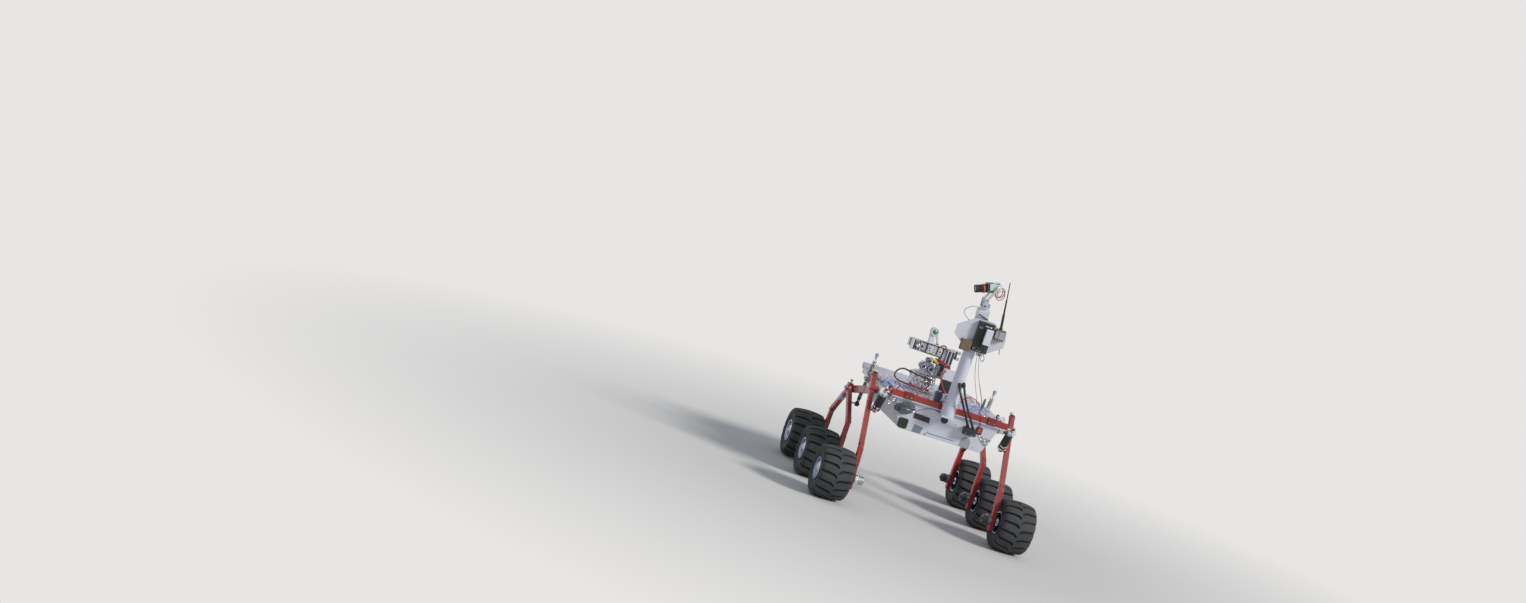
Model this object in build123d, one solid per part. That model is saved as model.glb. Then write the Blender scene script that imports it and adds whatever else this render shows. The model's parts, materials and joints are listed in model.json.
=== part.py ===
from build123d import *
import math
import os

# Planetary rover prototype: six wheels on a rocker and bogie suspension, a deck with a folded arm,
# and a pipe mast that carries an electronics plate and a camera head.
# Millimetres. X points forward, Y to the rover's left, Z up; the origin is on the ground,
# under the middle of the wheels.

os.makedirs("parts", exist_ok=True)

# Wheels
WHEEL_RADIUS = 140.0
TYRE_WIDTH = 180.0
TREAD_RADIUS = 127.0
SHOULDER_INSET = 12.0
SIDE_RADIUS = 106.0
BEAD_RADIUS = 60.0
TYRE_FACETS = 16
LUGS_PER_ROW = 12
LUG_WIDTH_DEG = 18.0
LUG_SLANT_DEG = 18.0
LUG_ROOT_DEPTH = 8.0
LUG_CENTRE_GAP = 3.0
LUG_DROP = 4.0
RIM_INSET = 6.0
RIM_WALL = 5.0
RIM_WEB = 6.0
RIM_DISH = 14.0
RIM_HOLES = 6
RIM_HOLE_RADIUS = 8.0
HUB_RADIUS = 20.0
AXLE_RADIUS = 8.0
AXLE_SPACING = 460.0

# Suspension limbs
LEG_REACH = 103.0
LEG_DEPTH = 24.0
LEG_WIDTH = 30.0
WHEEL_GAP = 8.0
RUNNING_FIT = 0.05
LEG_TOP = (195.0, 665.0)
LEG_KINK = (425.0, 300.0)
FOOT_DROP = 42.0
FOOT_SHIFT = 6.0
BOGIE_PIVOT = (-225.0, 500.0)
BOGIE_FRONT_KNEE = (0.0, 350.0)
BOGIE_REAR_KNEE = (-440.0, 330.0)
BOGIE_HUB = (42.0, 60.0)
BEAM_JOINT_Z = 593.0
ROCKER_DEPTH = 20.0
ROCKER_WIDTH = 40.0
ROCKER_GAP = 2.0
ROCKER_PIVOT_X = 40.0
PIVOT_RADIUS = 10.0
BOGIE_BOLT_RADIUS = 8.0
NUT_RADIUS = 15.0
NUT_THICK = 8.0
KNUCKLE_RADIUS = 21.0
CAP_RADIUS = 21.0
AXLE_INSET = 1.0

# Drive motors on the inner side of each foot
GEARBOX_RADIUS = 25.0
GEARBOX_LENGTH = 18.0
MOTOR_RADIUS = 21.0
MOTOR_LENGTH = 38.0

# Body tub, deck and rails
TUB_FRONT_X = 380.0
TUB_LENGTH = 760.0
TUB_TOP_Z = 608.0
TUB_HEIGHT = 154.0
TUB_TOP_HALF = 297.0
TUB_BOTTOM_HALF = 238.0
TUB_WALL = 4.0
DECK_THICK = 6.0
DECK_EAVE = 28.0
RAIL_SIZE = 24.0
BATTERY_SIZE = (300.0, 220.0, 90.0)
BATTERY_X = -60.0
BEAM_DEPTH = 24.0
BEAM_HEIGHT = 32.0
BEAM_REACH = 33.0
BEAM_SETBACK = 5.0
BLOCK_PROUD = 5.0
BLOCK_LENGTH = 46.0
BLOCK_INSET = 94.0
TIE_HOLE_RADIUS = 5.5
TIE_HOLE_INSET = 40.0
PAYLOAD_SETBACK = 110.0
PAYLOAD_SPACING = (150.0, 300.0)
PAYLOAD_HOLE_RADIUS = 2.75
PIVOT_BLOCK = (54.0, 36.0)
FOIL_HEIGHT = 38.0
FOIL_WALL = 3.0
FOIL_INSET = 7.0
FOIL_REAR_X = -165.0
FOIL_GAP = 0.5

# Fittings on the tub's front: Y, Z, width, height, depth; the round port: Y, Z, radius, depth
FITTINGS = {
    "vent": (-218.0, 486.0, 54.0, 54.0, 4.0),
    "slot": (-128.0, 540.0, 86.0, 26.0, 4.0),
    "switch": (190.0, 566.0, 32.0, 36.0, 8.0),
    "connector": (136.0, 549.0, 66.0, 38.0, 48.0),
}
PORT = (-8.0, 566.0, 19.0, 5.0)

# Struts and dampers
STRUT_REACH = 29.0
STRUT_FOOT = (-147.0, 438.0)
STRUT_BALL = (-75.0, 737.0)
STRUT_RADIUS = 10.0
STRUT_ROD_RADIUS = 4.5
STRUT_BALL_RADIUS = 11.0
STRUT_TUBE_START = 42.0
STRUT_TUBE_LENGTH = 222.0
STRUT_COLLAR = (13.0, 9.0)
STRUT_END_RADIUS = 8.0
STRUT_CLAMP_Z = 595.0
STRUT_CLAMP = (38.0, 20.0)
STRUT_CLAMP_MARGIN = 5.0
DAMPER_INSET = 37.0
DAMPER_LENGTH = 136.0
DAMPER_RADIUS = 22.0
DAMPER_CAP = (27.0, 18.0)
DAMPER_RING = (23.5, 14.0)
DAMPER_STUB = 12.0
DAMPER_STUB_RADIUS = 7.0
DAMPER_EYE_RADIUS = 10.0
DAMPER_EYE_WIDTH = 16.0
DAMPER_PIN_RADIUS = 5.0

# Mast and what it carries
MAST_X = 432.0
MAST_Y = -20.0
MAST_RADIUS = 32.0
MAST_WALL = 3.0
MAST_FOOT_Z = 598.0
MAST_TOP_Z = 1150.0
SOCKET_RADIUS = 38.0
SOCKET_HEIGHT = 56.0
SOCKET_PLATE = 10.0
PLATE_THICK = 4.0
PLATE_Z = 1052.0
PLATE_HALF = (137.0, 86.0)
PLATE_EDGE_HALF = (48.0, 26.0)
PLATE_SHIFT_Y = 18.0
SADDLE_HALF = 26.0
SADDLE_HEIGHT = 60.0
# Boxes on the plate: how far each starts ahead of it, its depth, and in Y and in Z the place of its
# middle from the plate's, then its size
RADIOS = {
    "black": (0.0, 30.0, (10.0, 84.0), (-2.0, 160.0)),
    "white": (30.0, 14.0, (30.0, 40.0), (7.0, 86.0)),
    "grey": (0.0, 34.0, (92.0, 56.0), (36.0, 60.0)),
    "tan": (0.0, 26.0, (-64.0, 56.0), (-65.0, 58.0)),
}
ANTENNA_PLACE = (24.0, -8.0)
ANTENNA_LENGTH = 250.0
ANTENNA_RADII = (8.0, 5.0)
ANTENNA_BUSH = (10.0, 10.0)
ANTENNA_SEAT = 4.0
ANTENNA_LEAN_DEG = 8.0

# Camera head
PAN_SIZE = (58.0, 54.0, 44.0)
TURN_GAP = 0.3
DISC_RADIUS = 26.0
DISC_HEIGHT = 8.0
FORK_PLATE = 4.0
FORK_WIDTH = 22.0
FORK_CLEARANCE = 6.0
TURN_PIN_RADIUS = 6.0
TURN_PIN_LENGTH = 14.0
TURN_BORE = 16.0
PLUG_LENGTH = 20.0
TILT_Y = 6.0
TILT_Z = 1316.0
TILT_PIN_RADIUS = 4.0
CAMERA_BOX = (52.0, 74.0, 52.0)
CAMERA_TAIL = 20.7
CAMERA_REST_DEG = 20.0
CORE_LENGTH = 24.0
CORE_RADIUS = 24.0
LENS_LENGTH = 40.0
LENS_RADIUS = 21.0
LENS_WALL = 3.0
GLASS_DEPTH = 8.0

# Arm, folded across the deck
ARM_X = -40.0
ARM_Y = -75.0
DRUM_RADIUS = 75.0
DRUM_TOP_Z = 722.0
SPINDLE_RADIUS = 12.0
SPINDLE_LENGTH = 30.0
SPINDLE_CLEARANCE = 2.0
TURRET_THICK = 9.0
TURRET_TAIL = 52.5
CRADLE_SIZE = (40.0, 70.0, 60.0)
# Motors on the turret: where each starts along X and its Y, both from the arm's axis, its height
# above the turret's plate, radius, length
TURRET_MOTORS = [
    (-30.0, -23.0, 30.0, 19.0, 60.0),
    (-30.0, 23.0, 26.0, 22.0, 60.0),
    (-24.0, 0.0, 68.0, 15.0, 48.0),
]
CHEEK_THICK = 6.0
CHEEK_GAP = 6.0
CHEEK_BACK_Y = -22.0
CHEEK_FRONT_Y = 42.0
CHANNEL_WIDTH = 44.0
CHANNEL_HEIGHT = 60.0
CHANNEL_WALL = 3.0
CHANNEL_END_Y = -200.0
CHANNEL_NOSE = 26.0
SHOULDER_Y = 15.0
SHOULDER_Z = 862.0
SHOULDER_PIN_RADIUS = 6.0
ELBOW_Y = -176.0
ELBOW_PIN_RADIUS = 6.0
HOLE_PITCH = 31.0
HOLE_RADIUS = 7.0
HOLE_MARGIN = 14.0
SENSOR_Y = -112.0
SENSOR_RADIUS = 22.0
SENSOR_LENGTH = 40.0
SENSOR_HEIGHT = 46.0
SENSOR_POST = (24.0, 30.0)
FOREARM_WIDTH = 34.0
FOREARM_HEIGHT = 44.0
FOREARM_LENGTH = 205.0
FOREARM_GAP = 32.0
FOREARM_HOLE_RADIUS = 6.0
BUSH_WALL = 5.0
WRIST_RADIUS = 15.0
WRIST_LENGTH = 30.0
FLANGE_RADIUS = 28.0
FLANGE_THICK = 8.0
FLANGE_PCD = 42.0
FLANGE_HOLES = 4
FLANGE_HOLE_RADIUS = 2.25
# Controller box, and by how much the panel on it is set in from, or stands past, its faces
CONTROLLER_X = (96.0, 144.0)
CONTROLLER_Y = (-14.0, 46.0)
CONTROLLER_TOP_Z = 742.0
PANEL_TOP_Z = 800.0
PANEL_INSET = 6.0
PANEL_RIGHT = 8.0
PANEL_LEFT = 4.0

# Free cables: diameter and route; the glands that hold their ends are a little thicker
CABLES = {
    "mast_cable_inner": (12.0, [
        (471.0, -16.0, 766.0), (484.5, -8.5, 741.0), (489.0, 10.0, 710.0), (478.0, 35.5, 675.5),
        (457.5, 60.5, 642.0), (437.5, 84.0, 613.5), (420.0, 105.0, 585.0),
    ]),
    "mast_cable_outer": (12.0, [
        (468.0, 5.0, 775.0), (487.5, 12.5, 750.5), (500.0, 25.0, 720.5), (500.0, 44.5, 686.0),
        (484.5, 70.0, 652.5), (462.5, 96.0, 624.5), (440.0, 119.0, 600.5), (420.0, 138.5, 577.0),
    ]),
    "deck_cable": (9.0, [
        (-50.0, -152.0, 709.0), (-50.0, -180.0, 716.0), (-43.5, -208.0, 711.0), (-28.0, -230.0, 695.0),
        (-3.0, -243.0, 678.0), (28.0, -246.0, 665.5), (61.0, -239.0, 659.0), (90.0, -221.0, 657.3),
        (111.0, -193.0, 657.0), (121.0, -159.0, 657.3), (123.0, -123.0, 657.2), (120.5, -87.0, 658.2),
        (120.0, -53.0, 660.0), (120.0, -22.0, 660.5),
    ]),
}
GLAND_WALL = 3.0
GLAND_LENGTH = 20.0
GLAND_SEAT = 4.0
ARC_SHARE = 0.45

# Places that follow from the sizes above
AXLE_Z = WHEEL_RADIUS
LEG_PLANE_Y = TUB_TOP_HALF + LEG_REACH
LEG_INNER_Y = LEG_PLANE_Y - LEG_DEPTH / 2
LEG_OUTER_Y = LEG_PLANE_Y + LEG_DEPTH / 2
WHEEL_Y = LEG_OUTER_Y + WHEEL_GAP + TYRE_WIDTH / 2
ROCKER_OUTER_Y = LEG_INNER_Y - ROCKER_GAP
ROCKER_INNER_Y = ROCKER_OUTER_Y - ROCKER_DEPTH
DECK_TOP_Z = TUB_TOP_Z + DECK_THICK
TUB_REAR_X = TUB_FRONT_X - TUB_LENGTH
RAIL_BOTTOM_Z = TUB_TOP_Z - RAIL_SIZE
RAIL_INNER_Y = TUB_TOP_HALF
RAIL_OUTER_Y = RAIL_INNER_Y + RAIL_SIZE
STRUT_Y = RAIL_OUTER_Y + STRUT_REACH
DAMPER_Y = LEG_PLANE_Y - DAMPER_INSET
DECK_HALF = TUB_TOP_HALF + DECK_EAVE
BEAM_HALF = TUB_TOP_HALF + BEAM_REACH
BEAM_X = TUB_FRONT_X + BEAM_SETBACK
BEAM_FRONT_X = BEAM_X + BEAM_DEPTH / 2
REAR_BEAM_X = TUB_REAR_X - BEAM_SETBACK
BEAM_Z = DECK_TOP_Z + BEAM_HEIGHT / 2
BEAM_TOP_Z = DECK_TOP_Z + BEAM_HEIGHT
BLOCK_Y = BEAM_HALF - BLOCK_INSET
TIE_HOLE_Y = BEAM_HALF - TIE_HOLE_INSET
PAYLOAD_X = TUB_REAR_X + PAYLOAD_SETBACK
PLATE_Y = MAST_Y + PLATE_SHIFT_Y
PLATE_FRONT_X = MAST_X + MAST_RADIUS + PLATE_THICK
TURRET_TOP_Z = DRUM_TOP_Z + TURN_GAP + TURRET_THICK
CHEEK_INNER = CHANNEL_WIDTH / 2 + CHEEK_GAP
CHEEK_OUTER = CHEEK_INNER + CHEEK_THICK
CHANNEL_BOTTOM_Z = SHOULDER_Z - CHANNEL_HEIGHT / 2
CHANNEL_TOP_Z = CHANNEL_BOTTOM_Z + CHANNEL_HEIGHT
SIDES = {"left": 1, "right": -1}
AXLES = {"front": AXLE_SPACING, "middle": 0.0, "rear": -AXLE_SPACING}


def around(middle, size):
    """A pair of coordinates either side of a middle."""
    return (middle - size / 2, middle + size / 2)


def block(x_span, y_span, z_span):
    """A box between three pairs of coordinates."""
    size = [span[1] - span[0] for span in (x_span, y_span, z_span)]
    middle = [(span[1] + span[0]) / 2 for span in (x_span, y_span, z_span)]
    return Pos(*middle) * Box(*size)


def rod(start, end, radius, end_radius=None):
    """A round bar, or a cone, from one point to another."""
    line = Vector(*end) - Vector(*start)
    place = Plane(origin=start, z_dir=line)
    if end_radius is None:
        return Solid.make_cylinder(radius, line.length, place)
    return Solid.make_cone(radius, end_radius, line.length, place)


def cross_rod(x, z, y_start, y_end, radius):
    """A round bar along Y."""
    return rod((x, min(y_start, y_end), z), (x, max(y_start, y_end), z), radius)


def upright(x, y, z0, z1, radius):
    """A round bar along Z."""
    return rod((x, y, z0), (x, y, z1), radius)


def crossbar(x0, x1, y, z, radius):
    """A round bar along X."""
    return rod((x0, y, z), (x1, y, z), radius)


def limb(points, width, y_inner, y_outer):
    """A flat-sided tube along points (x, z), with round knuckles where its runs meet."""
    middle = (y_inner + y_outer) / 2
    depth = abs(y_outer - y_inner)
    shape = None
    for (x0, z0), (x1, z1) in zip(points, points[1:]):
        run = math.hypot(x1 - x0, z1 - z0)
        turn = math.degrees(math.atan2(z1 - z0, x1 - x0))
        bar = Pos((x0 + x1) / 2, middle, (z0 + z1) / 2) * Rot(0, -turn, 0) * Box(run, depth, width)
        shape = bar if shape is None else shape + bar
    for x, z in points:
        shape += cross_rod(x, z, middle - depth / 2, middle + depth / 2, width / 2)
    return shape


def save(node, *shapes):
    """Writes one node; more than one shape stays as separate solids."""
    solids = [s for shape in shapes for s in shape.solids()]
    whole = solids[0] if len(solids) == 1 else Compound(children=solids)
    export_step(whole, f"parts/{node}.step")


def both(make):
    """The same piece on the left and on the right."""
    return [make(side) for side in SIDES.values()]


def ring_point(radius, degrees, y):
    """A point of the wheel at an angle about its axle, measured from the front."""
    angle = math.radians(degrees)
    return (radius * math.cos(angle), y, radius * math.sin(angle))


def facets(section_a, section_b):
    """The triangles of the walls between two sections with as many corners."""
    count = len(section_a)
    walls = []
    for i in range(count):
        j = (i + 1) % count
        walls.append((section_a[i], section_a[j], section_b[j]))
        walls.append((section_a[i], section_b[j], section_b[i]))
    return walls


def lug(start_deg, side):
    """One slanted lug: from the tread's middle, over the shoulder and onto the sidewall."""
    half = TYRE_WIDTH / 2
    # y from the wheel's middle, share of the slant, root radius, tip radius
    table = [
        (LUG_CENTRE_GAP, 0.0, TREAD_RADIUS - LUG_ROOT_DEPTH, WHEEL_RADIUS),
        (half - SHOULDER_INSET, 0.85, TREAD_RADIUS - LUG_ROOT_DEPTH, WHEEL_RADIUS - LUG_DROP),
        (half, 1.0, SIDE_RADIUS - LUG_ROOT_DEPTH, TREAD_RADIUS - LUG_DROP),
    ]
    sections = []
    for y, share, root, tip in table:
        lead = start_deg + share * LUG_SLANT_DEG
        trail = lead + LUG_WIDTH_DEG
        corners = [(root, lead), (tip, lead), (tip, trail), (root, trail)]
        sections.append([ring_point(radius, angle, side * y) for radius, angle in corners])
    triangles = facets(sections[0], sections[1]) + facets(sections[1], sections[2])
    for end in (sections[0], sections[2]):
        triangles.append((end[0], end[1], end[2]))
        triangles.append((end[0], end[2], end[3]))
    faces = [Face(Wire.make_polygon([Vector(*p) for p in corner], close=True)) for corner in triangles]
    return Solid(Shell(faces))


def wheel_polygon(radius, y):
    """A many-sided outline about the wheel's axle."""
    corners = [Vector(*ring_point(radius, 360 * i / TYRE_FACETS, y)) for i in range(TYRE_FACETS)]
    return Wire.make_polygon(corners, close=True)


def carcass():
    """The tyre without its lugs, many-sided so that it stays light; its bore's flats touch the rim."""
    half = TYRE_WIDTH / 2
    # y from the wheel's middle, radius
    table = [
        (-half, SIDE_RADIUS),
        (SHOULDER_INSET - half, TREAD_RADIUS),
        (half - SHOULDER_INSET, TREAD_RADIUS),
        (half, SIDE_RADIUS),
    ]
    body = Solid.make_loft([wheel_polygon(radius, y) for y, radius in table], ruled=True)
    bore_radius = BEAD_RADIUS / math.cos(math.pi / TYRE_FACETS)
    bore = Solid.make_loft([wheel_polygon(bore_radius, y) for y in (-half, half)], ruled=True)
    return body - bore


def tyre(side):
    """Chevron tyre for one side of the rover, centred on its axle."""
    pitch = 360 / LUGS_PER_ROW
    lugs = []
    for row, stagger in ((1, 0.0), (-1, pitch / 2)):
        for i in range(LUGS_PER_ROW):
            lugs.append(lug(i * pitch + stagger, row * side))
    return carcass().fuse(*lugs)


def rim(side):
    """Rim, web, hub and the stub axle that runs in the foot of the leg."""
    half = TYRE_WIDTH / 2
    face = side * (half - RIM_INSET)
    inner = -side * (half - RIM_INSET)
    web = face - side * RIM_DISH
    barrel = rod((0, inner, 0), (0, face, 0), BEAD_RADIUS)
    barrel -= rod((0, inner, 0), (0, web - side * RIM_WEB, 0), BEAD_RADIUS - RIM_WALL)
    barrel -= rod((0, web, 0), (0, face, 0), BEAD_RADIUS - RIM_WALL)
    ring = (BEAD_RADIUS - RIM_WALL + HUB_RADIUS) / 2
    for i in range(RIM_HOLES):
        x, _, z = ring_point(ring, 360 * i / RIM_HOLES, 0)
        barrel -= rod((x, web - side * RIM_WEB, z), (x, web, z), RIM_HOLE_RADIUS)
    barrel += rod((0, inner, 0), (0, face, 0), HUB_RADIUS)
    axle_end = -side * (WHEEL_Y - LEG_INNER_Y - AXLE_INSET)
    return barrel + rod((0, inner, 0), (0, axle_end, 0), AXLE_RADIUS)


def foot(axle_x, shift):
    """The lowest point of a leg, a little below the axle it carries."""
    return (axle_x + shift, AXLE_Z - FOOT_DROP)


def leg_side(side):
    """Inner and outer faces of the limbs that carry the wheels."""
    return side * LEG_INNER_Y, side * LEG_OUTER_Y


def bore_leg(shape, side, x, z, radius):
    """Cuts a hole along Y through a limb."""
    return shape - cross_rod(x, z, side * ROCKER_INNER_Y, side * LEG_OUTER_Y, radius)


def joint_x():
    """Where the rocker's beam meets the front leg."""
    share = (LEG_TOP[1] - BEAM_JOINT_Z) / (LEG_TOP[1] - LEG_KINK[1])
    return LEG_TOP[0] + share * (LEG_KINK[0] - LEG_TOP[0])


def rocker_pivot_z():
    """Height of the body pivot, on the line of the rocker's beam."""
    share = (ROCKER_PIVOT_X - BOGIE_PIVOT[0]) / (joint_x() - BOGIE_PIVOT[0])
    return BOGIE_PIVOT[1] + share * (BEAM_JOINT_Z - BOGIE_PIVOT[1])


def rocker(side):
    """Front leg and the beam that runs back to the bogie's pivot."""
    inner, outer = leg_side(side)
    leg = limb([LEG_TOP, LEG_KINK, foot(AXLES["front"], FOOT_SHIFT)], LEG_WIDTH, inner, outer)
    leg += cross_rod(AXLES["front"], AXLE_Z, inner, outer, KNUCKLE_RADIUS)
    beam = limb([BOGIE_PIVOT, (joint_x(), BEAM_JOINT_Z)], ROCKER_WIDTH,
                side * ROCKER_INNER_Y, side * ROCKER_OUTER_Y)
    knuckle = cross_rod(joint_x(), BEAM_JOINT_Z, side * ROCKER_INNER_Y, outer, KNUCKLE_RADIUS)
    shape = leg + beam + knuckle
    shape = bore_leg(shape, side, AXLES["front"], AXLE_Z, AXLE_RADIUS + RUNNING_FIT)
    shape = bore_leg(shape, side, *BOGIE_PIVOT, BOGIE_BOLT_RADIUS)
    return bore_leg(shape, side, ROCKER_PIVOT_X, rocker_pivot_z(), PIVOT_RADIUS)


def bogie(side):
    """The arched limb that carries the middle and rear wheels."""
    inner, outer = leg_side(side)
    front = [BOGIE_PIVOT, BOGIE_FRONT_KNEE, foot(AXLES["middle"], FOOT_SHIFT)]
    rear = [BOGIE_PIVOT, BOGIE_REAR_KNEE, foot(AXLES["rear"], -FOOT_SHIFT)]
    shape = limb(front, LEG_WIDTH, inner, outer) + limb(rear, LEG_WIDTH, inner, outer)
    x, z = BOGIE_PIVOT
    shape += block(around(x, BOGIE_HUB[0]), sorted((inner, outer)), around(z, BOGIE_HUB[1]))
    for name in ("middle", "rear"):
        shape += cross_rod(AXLES[name], AXLE_Z, inner, outer, KNUCKLE_RADIUS)
        shape = bore_leg(shape, side, AXLES[name], AXLE_Z, AXLE_RADIUS + RUNNING_FIT)
    return bore_leg(shape, side, *BOGIE_PIVOT, BOGIE_BOLT_RADIUS)


def bogie_bolt(side):
    """Bolt and two nuts through the rocker's end and the bogie."""
    x, z = BOGIE_PIVOT
    shank = cross_rod(x, z, side * (ROCKER_INNER_Y - NUT_THICK), side * (LEG_OUTER_Y + NUT_THICK),
                      BOGIE_BOLT_RADIUS)
    inner = cross_rod(x, z, side * (ROCKER_INNER_Y - NUT_THICK), side * ROCKER_INNER_Y, NUT_RADIUS)
    outer = cross_rod(x, z, side * LEG_OUTER_Y, side * (LEG_OUTER_Y + NUT_THICK), NUT_RADIUS)
    return shank + inner + outer


def rocker_shaft(side):
    """Shaft from the bearing block on the rail to the rocker's beam."""
    z = rocker_pivot_z()
    block_outer = RAIL_INNER_Y + PIVOT_BLOCK[1]
    shaft = cross_rod(ROCKER_PIVOT_X, z, side * block_outer, side * ROCKER_OUTER_Y, PIVOT_RADIUS)
    collar = cross_rod(ROCKER_PIVOT_X, z, side * block_outer, side * ROCKER_INNER_Y, NUT_RADIUS)
    return shaft + collar


def pivot_block(side):
    """Bearing block under the rail."""
    x, z = ROCKER_PIVOT_X, rocker_pivot_z()
    y_span = sorted((side * RAIL_INNER_Y, side * (RAIL_INNER_Y + PIVOT_BLOCK[1])))
    return block(around(x, PIVOT_BLOCK[0]), y_span, (z - PIVOT_BLOCK[0] / 2, RAIL_BOTTOM_Z))


def leg_cap(side):
    """White dome on the front leg's top."""
    x, z = LEG_TOP
    y = side * LEG_PLANE_Y
    top = z + LEG_WIDTH / 2
    above = block(around(x, 2 * CAP_RADIUS), around(y, 2 * CAP_RADIUS), (top, top + CAP_RADIUS))
    return Pos(x, y, top) * Sphere(CAP_RADIUS) & above


def motor(axle_x, side):
    """Gearbox and motor bolted to the inner side of a foot."""
    step = LEG_INNER_Y - GEARBOX_LENGTH
    box = cross_rod(axle_x, AXLE_Z, side * LEG_INNER_Y, side * step, GEARBOX_RADIUS)
    return box + cross_rod(axle_x, AXLE_Z, side * step, side * (step - MOTOR_LENGTH), MOTOR_RADIUS)


def tub_section(inset, bottom_z, top_z):
    """The tub's outline across the body, as (y, z) corners."""
    slope = (TUB_TOP_HALF - TUB_BOTTOM_HALF) / TUB_HEIGHT
    foot_z = TUB_TOP_Z - TUB_HEIGHT
    low = TUB_BOTTOM_HALF + (bottom_z - foot_z) * slope - inset
    high = TUB_BOTTOM_HALF + (top_z - foot_z) * slope - inset
    return [(-low, bottom_z), (low, bottom_z), (high, top_z), (-high, top_z)]


def across(corners, rear_x, front_x):
    """A prism along X from (y, z) corners."""
    wire = Wire.make_polygon([Vector(rear_x, y, z) for y, z in corners], close=True)
    return Solid.extrude(Face(wire), Vector(front_x - rear_x, 0, 0))


def body_tub():
    """Open-topped tub with sloping sides, closed by the deck."""
    low = TUB_TOP_Z - TUB_HEIGHT
    outer = across(tub_section(0, low, TUB_TOP_Z), TUB_REAR_X, TUB_FRONT_X)
    hollow = across(tub_section(TUB_WALL, low + TUB_WALL, TUB_TOP_Z),
                    TUB_REAR_X + TUB_WALL, TUB_FRONT_X - TUB_WALL)
    return outer - hollow


def deck_plate():
    """Deck with four holes for a payload."""
    plate = block((REAR_BEAM_X - BEAM_DEPTH / 2, BEAM_FRONT_X), around(0, 2 * DECK_HALF),
                  (TUB_TOP_Z, DECK_TOP_Z))
    for sx in (-0.5, 0.5):
        for sy in (-0.5, 0.5):
            x = PAYLOAD_X + sx * PAYLOAD_SPACING[0]
            y = sy * PAYLOAD_SPACING[1]
            plate -= upright(x, y, TUB_TOP_Z, DECK_TOP_Z, PAYLOAD_HOLE_RADIUS)
    return plate


def deck_foil():
    """Foil-wrapped cover on the deck, open round the arm's drum and the controller box."""
    front = BEAM_X - BEAM_DEPTH / 2 - FOIL_GAP
    half = DECK_HALF - FOIL_INSET
    top = DECK_TOP_Z + FOIL_HEIGHT
    cover = block((FOIL_REAR_X, front), (-half, half), (DECK_TOP_Z, top))
    cover -= block((FOIL_REAR_X + FOIL_WALL, front - FOIL_WALL), (FOIL_WALL - half, half - FOIL_WALL),
                   (DECK_TOP_Z, top - FOIL_WALL))
    cover -= upright(ARM_X, ARM_Y, DECK_TOP_Z, top, DRUM_RADIUS + FOIL_GAP)
    return cover - block((CONTROLLER_X[0] - FOIL_GAP, CONTROLLER_X[1] + FOIL_GAP),
                         (CONTROLLER_Y[0] - FOIL_GAP, CONTROLLER_Y[1] + FOIL_GAP), (DECK_TOP_Z, top))


def beam(x):
    """Cross beam on the deck."""
    return block(around(x, BEAM_DEPTH), (-BEAM_HALF, BEAM_HALF), (DECK_TOP_Z, BEAM_TOP_Z))


def front_beam():
    """Front beam with its two clamp blocks."""
    shape = beam(BEAM_X)
    for side in SIDES.values():
        y = side * BLOCK_Y
        shape += block((BEAM_X - BEAM_DEPTH / 2, BEAM_FRONT_X + BLOCK_PROUD), around(y, BLOCK_LENGTH),
                       (DECK_TOP_Z, BEAM_TOP_Z + BLOCK_PROUD))
    return shape


def rear_beam():
    """Rear beam with two tie-down holes."""
    shape = beam(REAR_BEAM_X)
    for side in SIDES.values():
        shape -= upright(REAR_BEAM_X, side * TIE_HOLE_Y, DECK_TOP_Z, BEAM_TOP_Z, TIE_HOLE_RADIUS)
    return shape


def rail(side):
    """Rail under the deck's edge."""
    return block((TUB_REAR_X, TUB_FRONT_X), sorted((side * RAIL_INNER_Y, side * RAIL_OUTER_Y)),
                 (RAIL_BOTTOM_Z, TUB_TOP_Z))


def battery():
    """Battery pack on the tub's floor."""
    length, width, height = BATTERY_SIZE
    floor = TUB_TOP_Z - TUB_HEIGHT + TUB_WALL
    return block(around(BATTERY_X, length), around(0, width), (floor, floor + height))


def strut_point(along, side):
    """A point on the strut's axis, measured up from its foot."""
    x0, z0 = STRUT_FOOT
    x1, z1 = STRUT_BALL
    run = math.hypot(x1 - x0, z1 - z0)
    return (x0 + (x1 - x0) * along / run, side * STRUT_Y, z0 + (z1 - z0) * along / run)


def strut_run():
    """Length of a strut from foot to ball."""
    return math.hypot(STRUT_BALL[0] - STRUT_FOOT[0], STRUT_BALL[1] - STRUT_FOOT[1])


def strut_tube(side):
    """Tan tube of a strut."""
    start = STRUT_TUBE_START
    return rod(strut_point(start, side), strut_point(start + STRUT_TUBE_LENGTH, side), STRUT_RADIUS)


def strut_rod(side):
    """Collar, chrome rod and ball above the tube."""
    start = STRUT_TUBE_START + STRUT_TUBE_LENGTH
    collar = rod(strut_point(start, side), strut_point(start + STRUT_COLLAR[1], side), STRUT_COLLAR[0])
    stem = rod(strut_point(start, side), strut_point(strut_run(), side), STRUT_ROD_RADIUS)
    return collar + stem + Pos(*strut_point(strut_run(), side)) * Sphere(STRUT_BALL_RADIUS)


def strut_end(side):
    """Black lower end with its pin into the bogie."""
    stem = rod(strut_point(0, side), strut_point(STRUT_TUBE_START, side), STRUT_END_RADIUS)
    eye = cross_rod(*STRUT_FOOT, side * (STRUT_Y - STRUT_RADIUS), side * (STRUT_Y + STRUT_RADIUS),
                    STRUT_COLLAR[0])
    pin = cross_rod(*STRUT_FOOT, side * STRUT_Y, side * LEG_INNER_Y, STRUT_ROD_RADIUS)
    return stem + eye + pin


def strut_clamp(side):
    """Clamp that holds the strut to the rail."""
    x0, z0 = STRUT_FOOT
    x1, z1 = STRUT_BALL
    x = x0 + (x1 - x0) * (STRUT_CLAMP_Z - z0) / (z1 - z0)
    length, height = STRUT_CLAMP
    y_span = sorted((side * RAIL_OUTER_Y, side * (STRUT_Y + STRUT_RADIUS + STRUT_CLAMP_MARGIN)))
    return block(around(x, length), y_span, around(STRUT_CLAMP_Z, height)) - strut_tube(side)


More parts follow.
